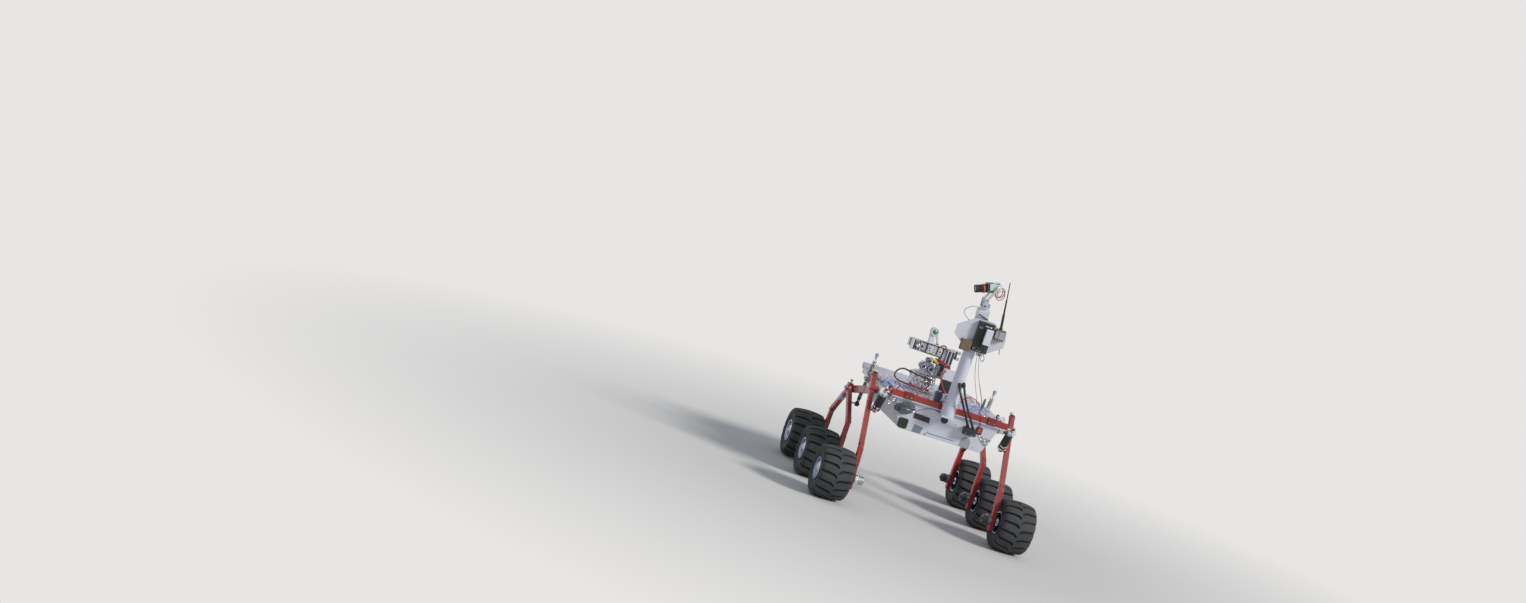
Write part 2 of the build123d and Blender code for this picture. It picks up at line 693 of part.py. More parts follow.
def damper_axis():
    """Unit vector from the pin in the beam's end down to the pin on the front leg's middle line."""
    slope = (LEG_KINK[0] - LEG_TOP[0]) / (LEG_TOP[1] - LEG_KINK[1])
    reach = DAMPER_STUB * 2 + DAMPER_LENGTH
    ahead = BEAM_X - LEG_TOP[0] - (LEG_TOP[1] - BEAM_Z) * slope
    # the drop solves drop^2 + (ahead - drop * slope)^2 = reach^2
    square = 1 + slope**2
    drop = (ahead * slope + math.sqrt((ahead * slope) ** 2 - square * (ahead**2 - reach**2))) / square
    return Vector(drop * slope - ahead, 0, -drop).normalized()


def damper_point(along, side):
    """A point on the damper's axis, measured down from its pin at the beam."""
    return Vector(BEAM_X, side * DAMPER_Y, BEAM_Z) + damper_axis() * along


def damper_cap(side):
    """Chrome cap, and the ring at the other end."""
    start = DAMPER_STUB
    end = DAMPER_STUB + DAMPER_LENGTH
    cap = rod(damper_point(start, side), damper_point(start + DAMPER_CAP[1], side), DAMPER_CAP[0])
    ring = rod(damper_point(end - DAMPER_RING[1], side), damper_point(end, side), DAMPER_RING[0])
    return cap, ring


def damper_body(side):
    """Black canister between cap and ring."""
    start = DAMPER_STUB + DAMPER_CAP[1]
    end = DAMPER_STUB + DAMPER_LENGTH - DAMPER_RING[1]
    return rod(damper_point(start, side), damper_point(end, side), DAMPER_RADIUS)


def damper_link(side):
    """Eyes and pins that tie the damper to the beam's end and to the leg."""
    end = 2 * DAMPER_STUB + DAMPER_LENGTH
    upper = damper_point(0, side)
    lower = damper_point(end, side)
    eye_span = around(side * DAMPER_Y, DAMPER_EYE_WIDTH)
    top = rod(upper, damper_point(DAMPER_STUB, side), DAMPER_STUB_RADIUS)
    top += cross_rod(upper.X, upper.Z, *eye_span, DAMPER_EYE_RADIUS)
    top += cross_rod(upper.X, upper.Z, side * BEAM_HALF, side * DAMPER_Y, DAMPER_PIN_RADIUS)
    low = rod(damper_point(end - DAMPER_STUB, side), lower, DAMPER_STUB_RADIUS)
    low += cross_rod(lower.X, lower.Z, *eye_span, DAMPER_EYE_RADIUS)
    low += cross_rod(lower.X, lower.Z, side * DAMPER_Y, side * LEG_INNER_Y, DAMPER_PIN_RADIUS)
    return top, low


def gland(name, at_end, length):
    """A cable's gland: a short rod on the line of the cable's first or last run."""
    diameter, route = CABLES[name]
    spot, beside = (route[-1], route[-2]) if at_end else (route[0], route[1])
    away = (Vector(*spot) - Vector(*beside)).normalized()
    return rod(spot, Vector(*spot) + away * length, diameter / 2 + GLAND_WALL)


def mast_tube():
    """White pipe with the glands of its two cables."""
    outer = upright(MAST_X, MAST_Y, MAST_FOOT_Z, MAST_TOP_Z, MAST_RADIUS)
    for name in ("mast_cable_inner", "mast_cable_outer"):
        outer += gland(name, False, GLAND_LENGTH)
    return outer - upright(MAST_X, MAST_Y, MAST_FOOT_Z, MAST_TOP_Z, MAST_RADIUS - MAST_WALL)


def mast_socket():
    """Socket on a shelf that is bolted to the tub's front."""
    shelf_z = MAST_FOOT_Z - SOCKET_PLATE
    y_span = around(MAST_Y, 2 * SOCKET_RADIUS)
    shelf = block((TUB_FRONT_X, MAST_X + SOCKET_RADIUS), y_span, (shelf_z, MAST_FOOT_Z))
    collar = upright(MAST_X, MAST_Y, MAST_FOOT_Z, MAST_FOOT_Z + SOCKET_HEIGHT, SOCKET_RADIUS)
    collar -= upright(MAST_X, MAST_Y, MAST_FOOT_Z, MAST_FOOT_Z + SOCKET_HEIGHT, MAST_RADIUS)
    collar -= block((BEAM_FRONT_X - 2 * SOCKET_RADIUS, BEAM_FRONT_X), y_span,
                    (TUB_TOP_Z, MAST_FOOT_Z + SOCKET_HEIGHT))
    return shelf + collar


def plate_outline():
    """The plate's eight corners, as (y, z)."""
    half_y, half_z = PLATE_HALF
    edge_y, edge_z = PLATE_EDGE_HALF
    signs = [(1, 1), (-1, 1), (-1, -1), (1, -1)]
    corners = []
    for i, (sy, sz) in enumerate(signs):
        pair = [(half_y, edge_z), (edge_y, half_z)]
        if i % 2:
            pair.reverse()
        corners += [(PLATE_Y + sy * a, PLATE_Z + sz * b) for a, b in pair]
    return corners


def mast_plate():
    """Eight-sided plate in front of the mast, on a saddle."""
    front = MAST_X + MAST_RADIUS
    plate = across(plate_outline(), front, PLATE_FRONT_X)
    saddle = block((MAST_X + MAST_RADIUS / 2, front), around(MAST_Y, 2 * SADDLE_HALF),
                   around(PLATE_Z, SADDLE_HEIGHT))
    saddle -= upright(MAST_X, MAST_Y, MAST_FOOT_Z, MAST_TOP_Z, MAST_RADIUS)
    return plate + saddle


def radio_span(name):
    """The three spans of a box on the plate."""
    ahead, depth, (y, width), (z, height) = RADIOS[name]
    face = PLATE_FRONT_X + ahead
    return (face, face + depth), around(PLATE_Y + y, width), around(PLATE_Z + z, height)


def antenna():
    """Black whip on the grey radio."""
    _, y_span, z_span = radio_span("grey")
    x = PLATE_FRONT_X + ANTENNA_PLACE[0]
    y = sum(y_span) / 2 + ANTENNA_PLACE[1]
    z = z_span[1]
    lean = math.radians(ANTENNA_LEAN_DEG)
    tip = (x, y - ANTENNA_LENGTH * math.sin(lean), z + ANTENNA_LENGTH * math.cos(lean))
    bush_radius, bush_height = ANTENNA_BUSH
    return upright(x, y, z, z + bush_height, bush_radius) + rod((x, y, z + ANTENNA_SEAT), tip, *ANTENNA_RADII)


def pan_base():
    """Servo housing on the mast's top."""
    dx, dy, dz = PAN_SIZE
    top = MAST_TOP_Z + dz
    box = block(around(MAST_X, dx), around(MAST_Y, dy), (MAST_TOP_Z, top))
    plug = upright(MAST_X, MAST_Y, MAST_TOP_Z - PLUG_LENGTH, MAST_TOP_Z, MAST_RADIUS - MAST_WALL)
    return box + plug - upright(MAST_X, MAST_Y, top - TURN_BORE, top, TURN_PIN_RADIUS + RUNNING_FIT)


def head_fork():
    """Turning disc and the two cheeks that carry the camera."""
    low = MAST_TOP_Z + PAN_SIZE[2] + TURN_GAP
    disc_top = low + DISC_HEIGHT
    shape = upright(MAST_X, MAST_Y, low, disc_top, DISC_RADIUS)
    shape += upright(MAST_X, MAST_Y, low - TURN_PIN_LENGTH, low, TURN_PIN_RADIUS)
    half = CAMERA_BOX[0] / 2 + FORK_CLEARANCE
    shape += block(around(MAST_X, 2 * (half + FORK_PLATE)), around(MAST_Y, FORK_WIDTH),
                   (disc_top, disc_top + FORK_PLATE))
    for sx in (-1, 1):
        inner = MAST_X + sx * half
        span = sorted((inner, inner + sx * FORK_PLATE))
        shape += fork_cheek(span, disc_top)
    return shape


def fork_cheek(x_span, foot_z):
    """One cheek: a flat bar that leans from the disc to the tilt pin."""
    y0, z0 = MAST_Y, foot_z + FORK_WIDTH / 2
    y1, z1 = TILT_Y, TILT_Z
    run = math.hypot(y1 - y0, z1 - z0)
    turn = math.degrees(math.atan2(z1 - z0, y1 - y0))
    middle = (x_span[0] + x_span[1]) / 2
    thick = x_span[1] - x_span[0]
    bar = Pos(middle, (y0 + y1) / 2, (z0 + z1) / 2) * Rot(turn, 0, 0) * Box(thick, run, FORK_WIDTH)
    foot_pad = block(x_span, around(MAST_Y, FORK_WIDTH), (foot_z, z0))
    top = crossbar(*x_span, y1, z1, FORK_WIDTH / 2)
    knee = crossbar(*x_span, y0, z0, FORK_WIDTH / 2)
    return bar + foot_pad + top + knee - crossbar(*x_span, y1, z1, TILT_PIN_RADIUS + RUNNING_FIT)


def tilted(shape):
    """Turns a piece of the camera, built level, to the angle it rests at."""
    pivot = Axis((MAST_X, TILT_Y, TILT_Z), (1, 0, 0))
    return shape.rotate(pivot, CAMERA_REST_DEG)


def camera_spans():
    """The level camera box, which looks towards minus Y."""
    dx, dy, dz = CAMERA_BOX
    rear = TILT_Y + CAMERA_TAIL
    return around(MAST_X, dx), (rear - dy, rear), around(TILT_Z, dz)


def camera_box():
    """Camera housing with its tilt pins."""
    half = CAMERA_BOX[0] / 2 + FORK_CLEARANCE + FORK_PLATE
    pins = crossbar(MAST_X - half, MAST_X + half, TILT_Y, TILT_Z, TILT_PIN_RADIUS)
    return tilted(block(*camera_spans()) + pins)


def camera_core():
    """Dark collar between the housing and the lens."""
    face = camera_spans()[1][0]
    return tilted(rod((MAST_X, face, TILT_Z), (MAST_X, face - CORE_LENGTH, TILT_Z), CORE_RADIUS))


def camera_lens():
    """Lens barrel with a shallow recess for the glass."""
    face = camera_spans()[1][0] - CORE_LENGTH
    end = face - LENS_LENGTH
    barrel = rod((MAST_X, face, TILT_Z), (MAST_X, end, TILT_Z), LENS_RADIUS)
    recess = rod((MAST_X, end, TILT_Z), (MAST_X, end + GLASS_DEPTH, TILT_Z), LENS_RADIUS - LENS_WALL)
    return tilted(barrel - recess)


def arm_drum():
    """Round base of the arm, wrapped in foil, with the gland of its cable."""
    drum = upright(ARM_X, ARM_Y, DECK_TOP_Z, DRUM_TOP_Z, DRUM_RADIUS) + gland("deck_cable", False, GLAND_LENGTH)
    return drum - upright(ARM_X, ARM_Y, DRUM_TOP_Z - SPINDLE_LENGTH - SPINDLE_CLEARANCE, DRUM_TOP_Z,
                          SPINDLE_RADIUS + RUNNING_FIT)


def turret():
    """Turning plate, spindle and the two cheeks of the shoulder."""
    low = TURRET_TOP_Z - TURRET_THICK
    shape = block(around(ARM_X, 2 * CHEEK_OUTER), (ARM_Y - TURRET_TAIL, CHEEK_FRONT_Y), (low, TURRET_TOP_Z))
    shape += upright(ARM_X, ARM_Y, low - SPINDLE_LENGTH, low, SPINDLE_RADIUS)
    for sx in (-1, 1):
        span = sorted((ARM_X + sx * CHEEK_INNER, ARM_X + sx * CHEEK_OUTER))
        cheek = block(span, (CHEEK_BACK_Y, CHEEK_FRONT_Y), (TURRET_TOP_Z, SHOULDER_Z))
        cheek += crossbar(*span, SHOULDER_Y, SHOULDER_Z, CHEEK_FRONT_Y - SHOULDER_Y)
        shape += cheek - crossbar(*span, SHOULDER_Y, SHOULDER_Z, SHOULDER_PIN_RADIUS + RUNNING_FIT)
    return shape


def turret_motors():
    """Motors that lie across the turret, on one cradle."""
    length, width, height = CRADLE_SIZE
    cradle = block(around(ARM_X, length), around(ARM_Y, width), (TURRET_TOP_Z, TURRET_TOP_Z + height))
    for start, y, rise, radius, reach in TURRET_MOTORS:
        x = ARM_X + start
        cradle += crossbar(x, x + reach, ARM_Y + y, TURRET_TOP_Z + rise, radius)
    return cradle


def perforated(shape, x_span, y_start, y_end, z, radius):
    """Cuts a row of round holes along Y through a channel's cheeks."""
    count = int((y_end - y_start) // HOLE_PITCH)
    for i in range(count):
        y = y_start + (i + 0.5) * HOLE_PITCH
        shape -= crossbar(*x_span, y, z, radius)
    return shape


def channel(x_span, y_span, z_span, wall):
    """A channel open at the bottom."""
    inner_x = (x_span[0] + wall, x_span[1] - wall)
    inner_y = (y_span[0] + wall, y_span[1] - wall)
    return block(x_span, y_span, z_span) - block(inner_x, inner_y, (z_span[0], z_span[1] - wall))


def arm_channel():
    """Upper arm: a perforated channel, with its shoulder and elbow pins."""
    x_span = around(ARM_X, CHANNEL_WIDTH)
    shape = channel(x_span, (CHANNEL_END_Y, SHOULDER_Y + CHANNEL_NOSE), (CHANNEL_BOTTOM_Z, CHANNEL_TOP_Z),
                    CHANNEL_WALL)
    shape = perforated(shape, x_span, ELBOW_Y + HOLE_MARGIN, SHOULDER_Y - HOLE_MARGIN, SHOULDER_Z, HOLE_RADIUS)
    shape += crossbar(*around(ARM_X, 2 * CHEEK_OUTER), SHOULDER_Y, SHOULDER_Z, SHOULDER_PIN_RADIUS)
    forearm_far = x_span[0] - FOREARM_GAP - FOREARM_WIDTH
    return shape + crossbar(forearm_far, x_span[1], ELBOW_Y, SHOULDER_Z, ELBOW_PIN_RADIUS)


def arm_sensor():
    """White drum on a post on the channel, facing forward."""
    middle = CHANNEL_TOP_Z + SENSOR_HEIGHT
    post = block(around(ARM_X, SENSOR_POST[0]), around(SENSOR_Y, SENSOR_POST[1]), (CHANNEL_TOP_Z, middle))
    return post + crossbar(*around(ARM_X, SENSOR_LENGTH), SENSOR_Y, middle, SENSOR_RADIUS)


def forearm():
    """Forearm folded back behind the upper arm."""
    near = ARM_X - CHANNEL_WIDTH / 2 - FOREARM_GAP
    x_span = (near - FOREARM_WIDTH, near)
    y_span = (ELBOW_Y - FOREARM_HEIGHT / 2, ELBOW_Y + FOREARM_LENGTH)
    shape = channel(x_span, y_span, around(SHOULDER_Z, FOREARM_HEIGHT), CHANNEL_WALL)
    shape = perforated(shape, x_span, ELBOW_Y + HOLE_MARGIN, y_span[1] - HOLE_MARGIN, SHOULDER_Z,
                       FOREARM_HOLE_RADIUS)
    bush = crossbar(*x_span, ELBOW_Y, SHOULDER_Z, ELBOW_PIN_RADIUS + BUSH_WALL)
    return shape + bush - crossbar(*x_span, ELBOW_Y, SHOULDER_Z, ELBOW_PIN_RADIUS + RUNNING_FIT)


def tool_flange():
    """Round flange at the forearm's end, with a bolt circle for a tool."""
    x = ARM_X - CHANNEL_WIDTH / 2 - FOREARM_GAP - FOREARM_WIDTH / 2
    y = ELBOW_Y + FOREARM_LENGTH
    face_y = (y + WRIST_LENGTH, y + WRIST_LENGTH + FLANGE_THICK)
    shape = cross_rod(x, SHOULDER_Z, y, face_y[0], WRIST_RADIUS)
    shape += cross_rod(x, SHOULDER_Z, *face_y, FLANGE_RADIUS)
    for i in range(FLANGE_HOLES):
        angle = math.radians(45 + 360 * i / FLANGE_HOLES)
        hx = x + FLANGE_PCD / 2 * math.cos(angle)
        hz = SHOULDER_Z + FLANGE_PCD / 2 * math.sin(angle)
        shape -= cross_rod(hx, hz, *face_y, FLANGE_HOLE_RADIUS)
    return shape


def controller():
    """Black box with its cable's gland, and the pale panel that stands on it."""
    box = block(CONTROLLER_X, CONTROLLER_Y, (DECK_TOP_Z, CONTROLLER_TOP_Z))
    box += gland("deck_cable", True, CONTROLLER_Y[0] - CABLES["deck_cable"][1][-1][1] + GLAND_SEAT)
    x_span = (CONTROLLER_X[0] + PANEL_INSET, CONTROLLER_X[1] - PANEL_INSET)
    y_span = (CONTROLLER_Y[0] - PANEL_RIGHT, CONTROLLER_Y[1] + PANEL_LEFT)
    return box, block(x_span, y_span, (CONTROLLER_TOP_Z, PANEL_TOP_Z))


def front_fitting(name):
    """A flat box on the tub's front."""
    y, z, width, height, depth = FITTINGS[name]
    return block((TUB_FRONT_X, TUB_FRONT_X + depth), around(y, width), around(z, height))


def connector():
    """Connector box with the glands of the two mast cables in its top."""
    _, z, _, height, _ = FITTINGS["connector"]
    seat_z = z + height / 2 - GLAND_SEAT
    shape = front_fitting("connector")
    for name in ("mast_cable_inner", "mast_cable_outer"):
        end, beside = CABLES[name][1][-1], CABLES[name][1][-2]
        run = (Vector(*end) - Vector(*beside)).normalized()
        shape += gland(name, True, (seat_z - end[2]) / run.Z)
    return shape


def front_fittings():
    """Vent, slot cover, switch, connector box and round port."""
    y, z, radius, depth = PORT
    port = crossbar(TUB_FRONT_X, TUB_FRONT_X + depth, y, z, radius)
    return [*[front_fitting(name) for name in ("vent", "slot", "switch")], connector(), port]


def cable(name):
    """A free cable: straight runs joined by tangent arcs as large as the runs allow."""
    diameter, route = CABLES[name]
    points = [Vector(*point) for point in route]
    radii = []
    for before, corner, after in zip(points, points[1:], points[2:]):
        run_in, run_out = corner - before, after - corner
        half_turn = math.radians(run_in.get_angle(run_out)) / 2
        radii.append(ARC_SHARE * min(run_in.length, run_out.length) / math.tan(half_turn))
    path = FilletPolyline(*points, radius=radii)
    tube = sweep(Plane(origin=points[0], z_dir=points[1] - points[0]) * Circle(diameter / 2), path=path)
    share = tube.volume / (math.pi * diameter**2 / 4 * path.length)
    print(f"{name}: length {path.length:.0f}, volume by section and length {share:.4f}, radii",
          [round(radius) for radius in radii])
    return tube


def build():
    """Writes every node."""
    for side_name, side in SIDES.items():
        save(f"rocker_{side_name}", rocker(side))
        save(f"bogie_{side_name}", bogie(side))
        tread = tyre(side)
        wheel = rim(side)
        for axle_name, x in AXLES.items():
            place = Pos(x, side * WHEEL_Y, AXLE_Z)
            save(f"tyre_{axle_name}_{side_name}", place * tread)
            save(f"rim_{axle_name}_{side_name}", place * wheel)
    save("body_tub", body_tub())
    save("deck_plate", deck_plate())
    save("deck_foil", deck_foil())
    save("battery_block", battery())
    save("front_beam", front_beam())
    save("rear_beam", rear_beam())
    save("side_rails", *both(rail))
    save("bearing_blocks", *both(pivot_block))
    save("rocker_shafts", *both(rocker_shaft), *both(bogie_bolt))
    save("leg_caps", *both(leg_cap))
    save("strut_tubes", *both(strut_tube))
    save("strut_rods", *both(strut_rod))
    save("strut_ends", *both(strut_end))
    save("strut_clamps", *both(strut_clamp))
    save("damper_caps", *[shape for pair in both(damper_cap) for shape in pair])
    save("damper_bodies", *both(damper_body))
    save("damper_links", *[shape for pair in both(damper_link) for shape in pair])
    save("drive_motors", *[motor(x, s) for x in AXLES.values() for s in SIDES.values()])
    save("mast_tube", mast_tube())
    save("mast_socket", mast_socket())
    save("mast_plate", mast_plate())
    for name in RADIOS:
        save(f"radio_{name}", block(*radio_span(name)))
    save("antenna", antenna())
    save("pan_base", pan_base())
    save("head_fork", head_fork())
    save("camera_box", camera_box())
    save("camera_core", camera_core())
    save("camera_lens", camera_lens())
    save("arm_drum", arm_drum())
    save("turret", turret())
    save("turret_motors", turret_motors())
    save("arm_channel", arm_channel())
    save("arm_sensor", arm_sensor())
    save("forearm", forearm())
    save("tool_flange", tool_flange())
    box, panel = controller()
    save("controller_box", box)
    save("controller_panel", panel)
    save("front_fittings", *front_fittings())
    for name in CABLES:
        save(name, cable(name))


build()
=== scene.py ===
# Looks of the planetary rover prototype: finishes, tyres, foil, cables, the arm's and the head's
# detail. Metres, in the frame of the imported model: X forward, Y to the rover's left, Z up.
import json
import math
import random

import bmesh
import bpy
from mathutils import Matrix, Quaternion, Vector, noise


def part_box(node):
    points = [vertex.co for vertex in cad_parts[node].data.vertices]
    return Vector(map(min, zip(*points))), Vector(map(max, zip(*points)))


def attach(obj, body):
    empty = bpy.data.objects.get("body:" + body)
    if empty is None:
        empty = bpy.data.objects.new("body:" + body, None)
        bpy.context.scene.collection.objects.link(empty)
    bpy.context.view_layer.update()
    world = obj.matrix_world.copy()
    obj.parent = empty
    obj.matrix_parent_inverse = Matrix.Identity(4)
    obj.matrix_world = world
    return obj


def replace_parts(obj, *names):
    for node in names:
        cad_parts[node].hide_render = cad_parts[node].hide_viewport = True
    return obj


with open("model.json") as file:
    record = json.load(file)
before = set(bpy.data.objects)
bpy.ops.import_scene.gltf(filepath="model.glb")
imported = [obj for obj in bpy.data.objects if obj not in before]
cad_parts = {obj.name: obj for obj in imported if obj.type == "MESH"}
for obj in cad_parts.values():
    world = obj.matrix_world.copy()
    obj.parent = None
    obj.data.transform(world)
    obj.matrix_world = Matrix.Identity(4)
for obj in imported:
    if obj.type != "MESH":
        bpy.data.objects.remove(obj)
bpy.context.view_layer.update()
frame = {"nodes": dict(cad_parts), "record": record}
NODES = frame["nodes"]

# Photograph's frame, and the view fitted to it
IMAGE_WIDTH = 1526
IMAGE_HEIGHT = 603
SENSOR_WIDTH = 36.0
BASE = Vector((0.0, 0.0, 0.6))
BASE_PIXEL = (931.1, 400.0)
CAMERA_DISTANCE = 11.0
PIXELS_PER_METRE = 182.9
CAMERA_AZIMUTH = math.radians(-16.4)
CAMERA_ELEVATION = math.radians(6.6)
CAMERA_ROLL = math.radians(19.5)

# Light
SUN_STRENGTH = 2.3
SUN_FROM = Vector((0.55, 0.75, 0.62))
SUN_SOFTNESS = math.radians(14)
WORLD_STRENGTH = 0.44
SUN_COLOUR = (1.0, 0.97, 0.93)
SKY_COLOUR = (0.86, 0.92, 1.0)
BACKGROUND = (0.8, 0.79, 0.78)
FLOOR_HALF = 60.0
FLOOR_COLOUR = (0.7, 0.69, 0.68)
FLOOR_FADE = (1.2, 4.0)

SIDES = {"left": 1, "right": -1}
AXLES = ("front", "middle", "rear")

# Directions, and the signs of a rectangle's corners
UP = (0, 0, 1)
AHEAD = (1, 0, 0)
BACK = (-1, 0, 0)
LEFT = (0, 1, 0)
SIGNS = [(-1, -1), (-1, 1), (1, -1), (1, 1)]

# Wheels
TYRE_RADIUS = 0.14
LUGS_PER_ROW = 17
TREAD_EDGE_RADIUS = 0.112
CROWN = 0.008
CROWN_HALF = 0.078
GROOVE_DEPTH = 0.0115
GROOVE_TOP = 0.0074
GROOVE_FLOOR = 0.005
GROOVE_START = 0.006
# The grooves' slant: steep up to the bend, gentle from there to the end
SLANT_BEND = 0.02
SLANT_END = 0.09
SLANT_NEAR = 0.65
SLANT_FAR = 0.12
RIM_RADIUS = 0.06

# Limbs, as (x, z), and the section they share
LEG_PLANE_Y = 0.4
LEG_DEPTH = 0.024
LEG_WIDTH = 0.03
LEG_INNER_Y = 0.388
ROCKER_PLANE_Y = 0.376
ROCKER_DEPTH = 0.02
ROCKER_WIDTH = 0.04
KNUCKLE_RADIUS = 0.021
KNUCKLE_SWELL = 0.0006
BEAM_KNUCKLE_Y = 0.389
BEAM_KNUCKLE_DEPTH = 0.0465
HUB_BOLT_Y = 0.42
BOGIE_HUB = (0.042, 0.06)
LEG_TOP = (0.195, 0.665)
LEG_KINK = (0.425, 0.3)
FRONT_FOOT = (0.466, 0.098)
BEAM_JOINT = (0.2404, 0.593)
BOGIE_PIVOT = (-0.225, 0.5)
BOGIE_FRONT = [BOGIE_PIVOT, (0.0, 0.35), (0.006, 0.098)]
BOGIE_REAR = [BOGIE_PIVOT, (-0.44, 0.33), (-0.466, 0.098)]
AXLE_X = {"front": 0.46, "middle": 0.0, "rear": -0.46}
AXLE_Z = 0.14

# Foil cover on the deck
FOIL_X = (-0.165, 0.3725)
FOIL_Y = (-0.318, 0.318)
FOIL_TOP = 0.652
FOIL_DEPTH = 0.006
FOIL_ROWS = 36
FOIL_COLUMNS = 46
FOIL_GAP = 0.0005
FOIL_THICKNESS = 0.0006
SCRAP_THICKNESS = 0.0005
# Folds that stand up: x, y, reach, rise
FOIL_FOLDS = [(0.235, -0.292, 0.052, 0.024), (0.325, -0.292, 0.04, 0.01), (0.3, 0.12, 0.055, 0.013),
    (0.19, 0.205, 0.06, 0.014), (0.33, 0.262, 0.045, 0.012), (-0.11, 0.22, 0.06, 0.012),
    (-0.12, -0.27, 0.045, 0.008), (0.325, -0.13, 0.04, 0.007)]
# Facets that get a painted reflection of the blue sky: x, y, reach
FOIL_SKY = [(0.19, -0.292, 0.12), (0.3, 0.125, 0.075), (0.19, 0.2, 0.07), (-0.12, 0.13, 0.035)]

# Fittings on the tub's front, as (y, z)
VENT = (-0.218, 0.486)
SLOT = (-0.128, 0.54)
PORT = (-0.008, 0.566)
SWITCH = (0.19, 0.566)
PATCH_RIGHT = [(0.11, 0.456), (0.166, 0.456), (0.168, 0.488), (0.158, 0.507), (0.132, 0.513), (0.112, 0.5)]
PATCH_LEFT = [(-0.16, 0.456), (-0.112, 0.456), (-0.105, 0.492), (-0.154, 0.499)]
PATCH_THICKNESS = 0.0008
LIP_Y = (-0.082, 0.086)
LIP_Z = 0.468
PANEL_SCREWS = [(-0.268, 0.596), (-0.06, 0.6), (0.06, 0.56), (0.1, 0.6), (0.262, 0.596), (0.04, 0.505),
    (-0.226, 0.545), (0.19, 0.47), (-0.046, 0.47)]

# Wrapped lump on the tub's front: y and z from and to, depth
LUMP = ((-0.293, -0.18), (0.527, 0.59), 0.026)
LUMP_ROWS = 22
LUMP_COLUMNS = 44

# Connector box on the tub's front: y, z, width, height, depth
CONNECTOR = (0.136, 0.549, 0.066, 0.038, 0.048)
GLAND_WALL = 0.003

# Screws on the rails, blocks and caps on the front beam
RAIL_FACE_Y = 0.321
RAIL_SCREW_Z = 0.596
CLAMP_BLOCK_Y = 0.236
BEAM_END_Y = 0.33

# Struts and dampers, as (x, z); each side has one
STRUT_Y = 0.35
STRUT_FOOT = (-0.147, 0.438)
STRUT_BALL = (-0.075, 0.737)
STRUT_CLAMP_Z = 0.595
DAMPER_Y = 0.363
DAMPER_TOP = (0.385, 0.63)
DAMPER_DOWN = Vector((-0.5062, 0.0, -0.8624))

# The arm and the head
CHANNEL_HALF = 0.022
HOLE_PITCH = 0.031
HOLE_RADIUS = 0.007
# The sensor's ring: y, z, radius
SENSOR_RING = (-0.0985, 0.9575, 0.0232)
CAMERA_REST_DEG = 20.0
# The camera's shell from its pivot: half width, back, front, half height
CAMERA_SHELL = (0.026, 0.0207, 0.0533, 0.026)
MOTORS = [
    # from the drum's middle: along X, along Y, above the turret's plate; radius, length
    (-0.03, -0.023, 0.03, 0.0185, 0.058),
    (-0.03, 0.023, 0.026, 0.0215, 0.058),
    (-0.024, 0.0, 0.068, 0.0145, 0.046),
]
# The geared head's share of a motor's length
GEAR_SHARE = 0.42
GEAR_TEETH = 28
JOINTS = {joint["name"]: joint["pos_m"] for joint in frame["record"]["behaviour"]["joints"]}

# Free cables with a solid in the part: radius, material, slot, lay, real length, points in millimetres
CABLES = {
    "mast_cable_inner": (0.006, "cable_black", "cable_black", "hanging", 0.237, [
        (471, -16, 766), (484.5, -8.5, 741), (489, 10, 710), (478, 35.5, 675.5), (457.5, 60.5, 642),
        (437.5, 84, 613.5), (420, 105, 585)]),
    "mast_cable_outer": (0.006, "cable_black", "cable_black", "hanging", 0.271, [
        (468, 5, 775), (487.5, 12.5, 750.5), (500, 25, 720.5), (500, 44.5, 686), (484.5, 70, 652.5),
        (462.5, 96, 624.5), (440, 119, 600.5), (420, 138.5, 577)]),
    "deck_cable": (0.0045, "loom", "cable_red", "loose", 0.429, [
        (-50, -152, 709), (-50, -180, 716), (-43.5, -208, 711), (-28, -230, 695), (-3, -243, 678),
        (28, -246, 665.5), (61, -239, 659), (90, -221, 657.3), (111, -193, 657), (121, -159, 657.3),
        (123, -123, 657.2), (120.5, -87, 658.2), (120, -53, 660), (120, -22, 660.5)]),
}

# Thin wires that only the scene has: body, radius, material, slot, lay, real length, points in millimetres
WIRES = {
    "plate_wire": ("chassis", 0.0017, "wire_two_tone", "cable_black", "hanging", 0.363, [
        (478, 26, 944), (474, 33, 925), (462, 50, 885), (452, 68, 845), (440, 90, 805), (425, 116, 765),
        (405, 140, 728), (382, 158, 697), (357, 168, 672), (338, 172, 652)]),
    "plate_wire_thin": ("chassis", 0.0012, "cable_grey", "cable_black", "hanging", 0.357, [
        (478, 14, 944), (472, 20, 920), (456, 34, 880), (441, 50, 842), (424, 72, 800), (406, 96, 760),
        (384, 120, 722), (362, 136, 690), (342, 144, 668), (330, 146, 652)]),
    "deck_arch": ("chassis", 0.0028, "cable_red", "cable_red", "loose", 0.151, [
        (110, 128, 650), (108, 138, 670), (104, 155, 684), (100, 180, 690), (98, 206, 686), (98, 226, 672),
        (100, 240, 654), (102, 246, 648)]),
    "box_loop": ("chassis", 0.0034, "cable_red", "cable_red", "loose", 0.182, [
        (136, -14, 790), (146, -34, 786), (154, -44, 768), (158, -38, 746), (160, -24, 722),
        (161, -10, 700), (160, 4, 682), (158, 20, 674), (152, 32, 674), (142, 34, 676)]),
    "box_loop_dark": ("chassis", 0.0026, "cable_violet", "cable_red", "loose", 0.145, [
        (136, -16, 782), (144, -30, 778), (150, -37, 762), (153, -32, 742), (154, -19, 720), (154, -6, 700),
        (153, 6, 686), (151, 16, 682), (147, 22, 684), (142, 24, 686)]),
    "turret_pair_upper": ("arm_turret", 0.0032, "cable_red", "cable_red", "loose", 0.127, [
        (-6, -44, 806), (8, -38, 820), (18, -22, 822), (21, -2, 815), (20, 18, 806), (12, 36, 797),
        (0, 44, 790), (-8, 40, 784)]),
    "turret_pair_lower": ("arm_turret", 0.003, "cable_red", "cable_red", "loose", 0.126, [
        (-6, -48, 800), (8, -42, 812), (18, -26, 813), (22, -6, 806), (20, 14, 797), (12, 32, 788),
        (0, 40, 781), (-8, 36, 775)]),
}


